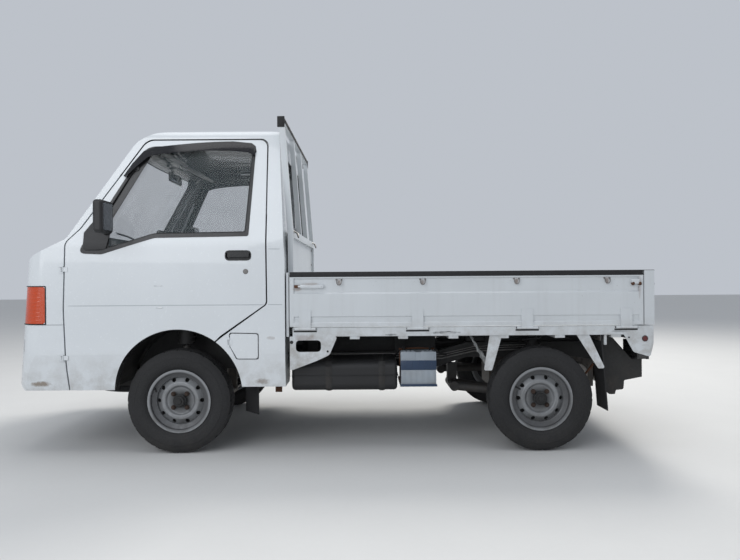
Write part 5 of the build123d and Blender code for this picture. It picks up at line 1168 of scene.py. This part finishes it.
draft.tube([(-1.5, 0.12, 0.48), (-1.3, 0.215, 0.5), (-1.05, 0.232, 0.505), (-0.7, 0.235, 0.495),
    (-0.3, 0.235, 0.485), (0.3, 0.23, 0.465), (0.64, 0.228, 0.45)], 0.016, 10)
draft.piece("coolant_pipes", rubber, "rubber", smooth=0.6)
for z, r in ((0.47, 0.0032), (0.458, 0.0032), (0.444, 0.0045)):
    draft.tube([(0.6, 0.354, z), (0.2, 0.354, z), (-0.3, 0.354, z + 0.004), (-0.62, 0.354, z),
        (-0.8, 0.354, z + 0.04), (-1.1, 0.354, z + 0.05)], r, 6)
draft.piece("brake_pipes", steel, "steel", smooth=0.6)
draft.box((-1.61, -0.25, 0.368), (-1.545, 0.25, 0.3705), 0.001)
for k in range(12):
    draft.box((-1.606, -0.238 + k * 0.041, 0.37), (-1.55, -0.226 + k * 0.041, 0.3728), 0.0008)
for y in (-0.238, 0.238):
    draft.disc((-1.585, y, 0.32), (0, 1 if y > 0 else -1, 0), 0.049, 0.006, 32, 0.003, inner=0.02)
draft.piece("exhaust_shield", steel, "steel")

# Springs: coils over the front struts and round the rear ones
for name, x, y, r, z0, z1, turns in (("front", FRONT_AXLE_X, 0.532, 0.044, 0.56, 0.65, 3.5),
                                    ("rear", REAR_AXLE_X, 0.5, 0.046, 0.33, 0.58, 6.5)):
    for side, hand in SIDES:
        count = int(turns * 20)
        path = [(x + r * cos(2 * pi * turns * k / count), side * y + r * sin(2 * pi * turns * k / count),
                 z0 + (z1 - z0) * k / count) for k in range(count + 1)]
        draft.tube(path, 0.0065, 8)
        draft.piece("coil_" + name + "_" + hand, underbody, "underbody", smooth=0.8)

# Seat cushions: padded shapes, swollen by a short cloth simulation with their seams held
SEAT_BASE = ((0.472, 0.693, 0.004), (0.898, 0.693, 0.02), (0.93, 0.8, 0.05), (0.472, 0.773, 0.024))
SEAT_BACK = ((0.303, 0.693, 0.004), (0.455, 0.693, 0.01), (0.455, 0.8, 0.03), (0.383, 1.281, 0.045),
             (0.299, 1.268, 0.04))
SEAT_Y = 0.33
SEAT_HALF = 0.234
SEAM_Y = 0.165
SEAM_DEPTH = 0.0075
SEAM_WIDTH = 0.007
PUFF_LIMIT = 0.012
CLOTH_FRAMES = 16
CLOTH = {
    "quality": 5, "mass": 0.3, "tension_stiffness": 25, "compression_stiffness": 25,
    "shear_stiffness": 12, "bending_stiffness": 2, "use_pressure": True, "uniform_pressure_force": 4.0,
    "vertex_group_mass": "held",
}


def cushion(name, outline, middle_y, seam_lines):
    """Padded seat piece: rounded block, stitched channels, then pressure against the held seams."""
    flat = flat_side(1, middle_y)
    crown = ((0.0, 0.016), (0.004, 0.007), (0.014, 0.0))
    layers = [(inset - SEAT_HALF, shrink) for inset, shrink in crown]
    layers += [(SEAT_HALF - inset, shrink) for inset, shrink in reversed(crown)]
    rings = [[draft.vert(flat(x, z, out)) for x, z in rounded(moved(outline, -shrink), 5, 3)]
        for out, shrink in layers]
    draft.skin(rings)
    obj = draft.piece(name, seat_cloth, "seat_cloth", smooth=1.2)
    remesh = obj.modifiers.new("even", "REMESH")
    remesh.mode = "VOXEL"
    remesh.voxel_size = 0.0105
    graph = bpy.context.evaluated_depsgraph_get()
    mesh = bpy.data.meshes.new_from_object(obj.evaluated_get(graph))
    obj.modifiers.remove(remesh)
    obj.data = mesh
    held = obj.vertex_groups.new(name="held")
    floor_z = min(v.co.z for v in mesh.vertices) + 0.012
    normals = [v.normal.copy() for v in mesh.vertices]
    for v, normal in zip(mesh.vertices, normals):
        depth = 0.0
        for seam in (-SEAM_Y, SEAM_Y):
            depth = max(depth, exp(-((v.co.y - middle_y - seam) / SEAM_WIDTH) ** 2))
        for axis, place in seam_lines:
            depth = max(depth, exp(-((v.co[axis] - place) / SEAM_WIDTH) ** 2))
        top = max(normal.z, normal.x, 0.0)
        v.co -= normal * SEAM_DEPTH * depth * min(top * 1.6, 1.0)
        if depth * top > 0.55 or v.co.z < floor_z:
            held.add([v.index], 1.0, "REPLACE")
    rest = [v.co.copy() for v in mesh.vertices]
    cloth = obj.modifiers.new("pressure", "CLOTH")
    for key, value in CLOTH.items():
        setattr(cloth.settings, key, value)
    cloth.settings.effector_weights.gravity = 0.0
    cloth.point_cache.frame_start = 1
    cloth.point_cache.frame_end = CLOTH_FRAMES
    for frame_number in range(1, CLOTH_FRAMES + 1):
        bpy.context.scene.frame_set(frame_number)
    graph = bpy.context.evaluated_depsgraph_get()
    swollen = bpy.data.meshes.new_from_object(obj.evaluated_get(graph))
    obj.modifiers.remove(cloth)
    for v, start, swollen_v in zip(mesh.vertices, rest, swollen.vertices):
        step = swollen_v.co - start
        v.co = start + step * min(1.0, PUFF_LIMIT / max(step.length, 1e-6))
    bpy.context.scene.frame_set(1)
    mesh.materials.clear()
    mesh.materials.append(seat_cloth)
    mesh.shade_smooth()
    return obj


for side, hand in SIDES:
    middle = side * SEAT_Y
    base = cushion("seat_base_" + hand, SEAT_BASE, middle, ((0, 0.575), (0, 0.8)))
    cushion("seat_back_" + hand, SEAT_BACK, middle, ((2, 0.905), (2, 1.12)))
    if side > 0:
        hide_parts("seats")
    y0, y1 = middle - 0.205, middle + 0.205
    for y in (middle - SEAM_Y, middle + SEAM_Y):
        draft.tube([(0.49, y, 0.7765), (0.56, y, 0.7815), (0.7, y, 0.79), (0.82, y, 0.7955),
            (0.885, y, 0.79), (0.912, y, 0.774), (0.919, y, 0.75)], 0.0028, 6)
    for x, z in ((0.575, 0.7795), (0.8, 0.791)):
        draft.tube([(x, y0, z - 0.006), (x, y0 + 0.03, z), (x, (y0 + y1) / 2, z + 0.001),
            (x, y1 - 0.03, z), (x, y1, z - 0.006)], 0.0028, 6)
    draft.piece("seat_piping_" + hand, seat_trim, "seat_cloth", smooth=0.8)
    for y in (middle - 0.19, middle + 0.19):
        draft.box((0.5, y - 0.014, 0.6895), (0.9, y + 0.014, 0.6955), 0.002)
        for x in (0.52, 0.88):
            draft.disc((x, y, 0.695), (0, 0, 1), 0.0085, 0.004, 6, 0.001)
    draft.tube([(0.905, middle + 0.19, 0.7), (0.955, middle + 0.19, 0.705), (0.965, middle + 0.15, 0.707),
        (0.965, middle + 0.08, 0.707)], 0.0055, 8)
    draft.piece("seat_rails_" + hand, steel, "steel")

# Door cards: panel, armrest, winder, pull and speaker slots
DOOR_IN_Y = 0.5375
for side, hand in SIDES:
    door = hand + "_door"
    on_card = flat_side(side, 0.54)
    card = ((0.4, 0.74, 0.03), (1.09, 0.74, 0.03), (1.18, 0.8, 0.06), (1.18, 1.02, 0.03),
            (0.905, 1.085, 0.06), (0.4, 1.09, 0.03))
    draft.plate(rounded(card, 5, 6), on_card, 0.001, -0.0035)
    draft.frame(rounded(moved(card, -0.022), 5, 6), rounded(moved(card, -0.027), 5, 6), on_card, -0.003,
        -0.005)
    draft.piece("door_card_" + hand, seat_trim, "grey_plastic", door)
    draft.box((0.56, side * DOOR_IN_Y, 0.9), (0.86, side * 0.498, 0.938), 0.012)
    draft.box((0.52, side * DOOR_IN_Y, 0.985), (0.6, side * 0.527, 1.02), 0.005)
    draft.tube([(0.535, side * 0.53, 1.003), (0.54, side * 0.52, 1.004), (0.575, side * 0.518, 1.004),
        (0.59, side * 0.522, 1.004)], 0.0055, 8)
    for k in range(7):
        draft.box((0.96 + k * 0.019, side * DOOR_IN_Y, 0.78), (0.968 + k * 0.019, side * 0.5345, 0.86),
            0.0012)
    draft.piece("door_armrest_" + hand, grey, "grey_plastic", door)
    draft.disc((0.95, side * 0.5365, 0.93), (0, -side, 0), 0.02, 0.01, 24, 0.003)
    draft.tube([(0.95, side * 0.525, 0.93), (0.92, side * 0.52, 0.9), (0.885, side * 0.514, 0.868)],
        0.0065, 8)
    draft.disc((0.885, side * 0.517, 0.868), (0, -side, 0), 0.012, 0.024, 18, 0.004)
    draft.piece("window_winder_" + hand, black, "black_plastic", door, smooth=0.6)

# Dashboard: instrument hood, dials, vents, radio blank, controls, glove box and shelf lip
hood = ((1.285, 1.098, 0.004), (1.285, 1.15, 0.02), (1.305, 1.168, 0.02), (1.4, 1.15, 0.03),
    (1.44, 1.1, 0.01))
hood_rows = []
for y, shrink in ((-0.475, 0.012), (-0.468, 0.004), (-0.455, 0.0), (-0.205, 0.0), (-0.192, 0.004),
        (-0.185, 0.012)):
    hood_rows.append([draft.vert((x, y, z)) for x, z in rounded(moved(hood, -shrink), 4, 2)])
draft.skin(hood_rows)
draft.piece("instrument_hood", black, "grey_plastic", smooth=0.6)
draft.box((1.2795, -0.44, 1.1055), (1.2855, -0.22, 1.1545), 0.004)
draft.piece("instrument_face", dial_face, "black_plastic")
DIAL_Z = 1.13
for y, r in ((-0.33, 0.0225), (-0.392, 0.015), (-0.268, 0.015)):
    draft.disc((1.2795, y, DIAL_Z), (-1, 0, 0), r, 0.0022, 32, 0.0006, inner=r * 0.88)
    for k in range(11):
        turn = -0.7 + k * 0.454
        mark_y, mark_z = y + cos(turn) * r * 0.76, DIAL_Z + sin(turn) * r * 0.76
        draft.box((1.2786, mark_y - 0.0006, mark_z - 0.0006), (1.2796, mark_y + 0.0006, mark_z + 0.0018))
    draft.tube([(1.2783, y, DIAL_Z), (1.2783, y - r * 0.5, DIAL_Z - r * 0.42)], 0.0008, 6)
draft.piece("instrument_dials", pale_grey, "grey_plastic")


def dash_face(y, z, out):
    """Placer on the dashboard's leaning face."""
    return (1.2625 - out - (z - 1.0) * 0.02, y, z)


for y in (-0.56, -0.075, 0.075, 0.56):
    draft.frame(rounded(rectangle((y - 0.046, y + 0.046), (0.978, 1.026), 0.006), 3, 2),
        rounded(rectangle((y - 0.04, y + 0.04), (0.984, 1.02), 0.004), 3, 2), dash_face, -0.004, 0.004)
    for k in range(4):
        draft.box((1.2585, y - 0.04, 0.988 + k * 0.0085), (1.2665, y + 0.04, 0.9895 + k * 0.0085), 0.0004)
draft.box((1.2595, -0.092, 0.92), (1.268, 0.092, 0.968), 0.003)
for y in (-0.07, 0.07):
    draft.disc((1.26, y, 0.944), (-1, 0, 0), 0.0105, 0.01, 20, 0.002)
for k in range(5):
    draft.box((1.257, -0.042 + k * 0.018, 0.934), (1.26, -0.03 + k * 0.018, 0.942), 0.001)
for y in (-0.055, 0.0, 0.055):
    draft.disc((1.264, y, 0.888), (-1, 0, 0), 0.014, 0.012, 22, 0.003)
draft.piece("dash_vents_controls", black, "black_plastic")
draft.frame(rounded(rectangle((0.19, 0.59), (0.905, 1.035), 0.015), 4, 4),
    rounded(rectangle((0.194, 0.586), (0.909, 1.031), 0.013), 4, 4), dash_face, -0.006, 0.0022)
draft.box((1.256, 0.36, 1.006), (1.264, 0.42, 1.02), 0.003)
draft.box((1.25, -0.6, 0.878), (1.27, 0.6, 0.888), 0.004)
draft.piece("glove_box", black, "grey_plastic")

# Steering column stalks and horn pad
tilt = radians(52.0)
column = Vector((cos(tilt), 0, -sin(tilt)))
hub_at = Vector((1.066, -0.33, 1.118))
for side in (1, -1):
    root = hub_at + column * 0.15 + Vector((0, side * 0.028, 0))
    draft.tube([root, root + Vector((-0.01, side * 0.06, 0.012)),
        root + Vector((-0.03, side * 0.125, 0.03))], 0.0062, 8)
    draft.tube([root + Vector((-0.026, side * 0.11, 0.026)), root + Vector((-0.032, side * 0.14, 0.032))],
        0.01, 10)
draft.piece("column_stalks", black, "black_plastic", smooth=0.7)
draft.disc(hub_at + column * 0.0015, -column, 0.043, 0.012, 36, 0.006)
draft.disc(hub_at - column * 0.01, -column, 0.02, 0.003, 28, 0.001, inner=0.017)
draft.piece("horn_pad", grey, "black_plastic", "wheel_helm", smooth=0.6)

# Pedals, floor mat, gear lever, hand brake
pad_turn = Matrix.Rotation(radians(28), 4, "Y")
for y, width, foot_z in ((-0.235, 0.034, 0.5), (-0.33, 0.034, 0.5), (-0.42, 0.022, 0.48)):
    draft.tube([(1.42, y, 0.76), (1.415, y, 0.7), (1.385, y, 0.6), (1.362, y, foot_z + 0.01)], 0.0065, 8)
    draft.box((1.35, y - width, foot_z - 0.028), (1.362, y + width, foot_z + 0.028), 0.004, pad_turn)
    for k in range(4):
        z = foot_z - 0.021 + k * 0.0135
        draft.box((1.344, y - width + 0.005, z), (1.35, y + width - 0.005, z + 0.005), 0.001, pad_turn)
draft.piece("pedals", black, "black_plastic")
draft.box((1.172, -0.6, 0.4195), (1.47, 0.6, 0.4255), 0.003)
for k in range(30):
    draft.box((1.185, -0.585 + k * 0.04, 0.4245), (1.455, -0.571 + k * 0.04, 0.4285), 0.0015)
draft.piece("floor_mat", rubber, "rubber")
draft.disc((1.03, 0.0, 0.6895), (0, 0, 1), 0.058, 0.01, 32, 0.005)
for k, r in enumerate((0.048, 0.042, 0.036, 0.03, 0.024)):
    draft.disc((1.03 + k * 0.003, 0.0, 0.697 + k * 0.01), (0, 0, 1), r, 0.009, 28, 0.004)
draft.tube([(1.04, 0.0, 0.74), (1.052, -0.004, 0.82), (1.058, -0.008, 0.9)], 0.0065, 10)
draft.disc((1.057, -0.008, 0.895), (0.1, 0, 1), 0.019, 0.036, 24, 0.01)
draft.piece("gear_lever", black, "black_plastic", smooth=0.7)
draft.box((0.72, -0.048, 0.6895), (0.8, -0.012, 0.735), 0.006)
draft.tube([(0.76, -0.03, 0.725), (0.85, -0.03, 0.76), (0.96, -0.03, 0.795)], 0.0095, 12, flat=1.3)
draft.tube([(0.88, -0.03, 0.77), (0.975, -0.03, 0.8)], 0.0135, 12, flat=1.2)
draft.disc((0.974, -0.03, 0.7995), (0.95, 0, 0.3), 0.006, 0.01, 14, 0.002)
draft.piece("hand_brake", black, "black_plastic", smooth=0.7)

# Inside mirror, sun visors and belts
BELT_PATH = ((0.352, 0.532, 1.42), (0.35, 0.531, 1.25), (0.35, 0.531, 1.0), (0.352, 0.531, 0.76))
BELT_SECTION = ((-0.022, 0.0), (0.022, 0.0), (0.022, 0.0016), (-0.022, 0.0016))
draft.box((1.0, -0.125, 1.508), (1.014, 0.115, 1.566), 0.006)
draft.tube([(1.012, -0.005, 1.556), (1.024, -0.005, 1.578), (1.03, -0.005, 1.606)], 0.0065, 8)
draft.disc((1.03, -0.005, 1.6), (0, 0, 1), 0.018, 0.01, 20, 0.003)
draft.piece("inside_mirror", black, "black_plastic")
draft.box((0.9985, -0.119, 1.514), (1.0002, 0.109, 1.56), 0.0008)
draft.piece("inside_mirror_face", mirror_face, "glass")
visor_turn = Matrix.Rotation(radians(-24), 4, "Y")
for side, hand in SIDES:
    draft.box((0.88, side * 0.13, 1.612), (1.02, side * 0.5, 1.628), 0.007, visor_turn)
    draft.tube([(1.01, side * 0.505, 1.585), (1.008, side * 0.52, 1.592), (0.995, side * 0.525, 1.612)],
        0.0045, 8)
    draft.piece("sun_visor_" + hand, pale_grey, "grey_plastic", smooth=0.6)
    rows = []
    for x, y, z in BELT_PATH:
        rows.append([draft.vert((x + w, side * (y - t), z)) for w, t in BELT_SECTION])
    draft.skin(rows)
    draft.piece("belt_" + hand, webbing, "seat_cloth")
    draft.box((0.318, side * DOOR_IN_Y, 1.415), (0.388, side * 0.518, 1.462), 0.007)
    draft.box((0.318, side * DOOR_IN_Y, 0.692), (0.392, side * 0.498, 0.78), 0.007)
    draft.tube([(0.52, side * 0.075, 0.7), (0.535, side * 0.07, 0.78), (0.545, side * 0.068, 0.815)],
        0.008, 10)
    draft.box((0.535, side * 0.048, 0.806), (0.56, side * 0.09, 0.852), 0.006)
    draft.piece("belt_fittings_" + hand, black, "black_plastic")

# Wheelhouse walls, bed bearers and pillar grips, and brake discs behind the wheels
WALL_Y = (0.404, 0.4)
WALL_FOOT_Z = 0.403
WALL_STEPS = 40
for side, hand in SIDES:
    rows = []
    for k in range(WALL_STEPS + 1):
        turn = radians(12) + (pi - radians(24)) * k / WALL_STEPS
        reach = 0.322 + 0.0022 * cos(18 * turn)
        x = ARCH_X + reach * cos(turn)
        z = ARCH_Z + reach * sin(turn)
        corners = [(y, z) for y in WALL_Y] + [(y, WALL_FOOT_Z) for y in reversed(WALL_Y)]
        rows.append([draft.vert((x, side * y, height)) for y, height in corners])
    draft.skin(rows)
    draft.piece("wheelhouse_wall_" + hand, underbody, "underbody")
    for k in range(11):
        draft.box((-1.5 + k * 0.16, side * 0.3, 0.56), (-1.415 + k * 0.16, side * 0.336, 0.612), 0.003)
    draft.box((-1.56, side * 0.304, 0.565), (0.18, side * 0.332, 0.598), 0.002)
    draft.box((-0.585, side * 0.306, 0.4865), (0.18, side * 0.33, 0.5655), 0.002)
    draft.box((-1.56, side * 0.306, 0.5365), (-0.76, side * 0.33, 0.5655), 0.002)
    draft.piece("bed_bearer_" + hand, underbody, "underbody")
    grip = [(1.14, 0.668, 1.364), (1.128, 0.64, 1.368), (1.112, 0.622, 1.384), (1.076, 0.62, 1.424),
            (1.044, 0.62, 1.46), (1.026, 0.632, 1.482), (1.016, 0.65, 1.492)]
    draft.tube([(x, side * y, z) for x, y, z in grip], 0.0095, 10)
    for x, y, z in (grip[0], grip[-1]):
        draft.disc((x, side * y, z), (0, -side, 0), 0.0145, 0.008, 16, 0.002)
    draft.piece("pillar_grip_" + hand, black, "black_plastic", smooth=0.6)
for body, x, side in WHEELS:
    rim = "rim" + body[5:]
    face = surface_hit((rim,), (x + 0.062, side * 1.2, TYRE_R), (0, -side, 0))[1].y
    draft.disc((x, face - side * 0.026, TYRE_R), (0, -side, 0), 0.1255, 0.004, 40, 0.0012)
    draft.disc((x, face - side * 0.03, TYRE_R), (0, -side, 0), 0.112, 0.01, 40, 0.003)
    draft.piece("brake_disc_" + body[6:], hub_dark, "cast", body)
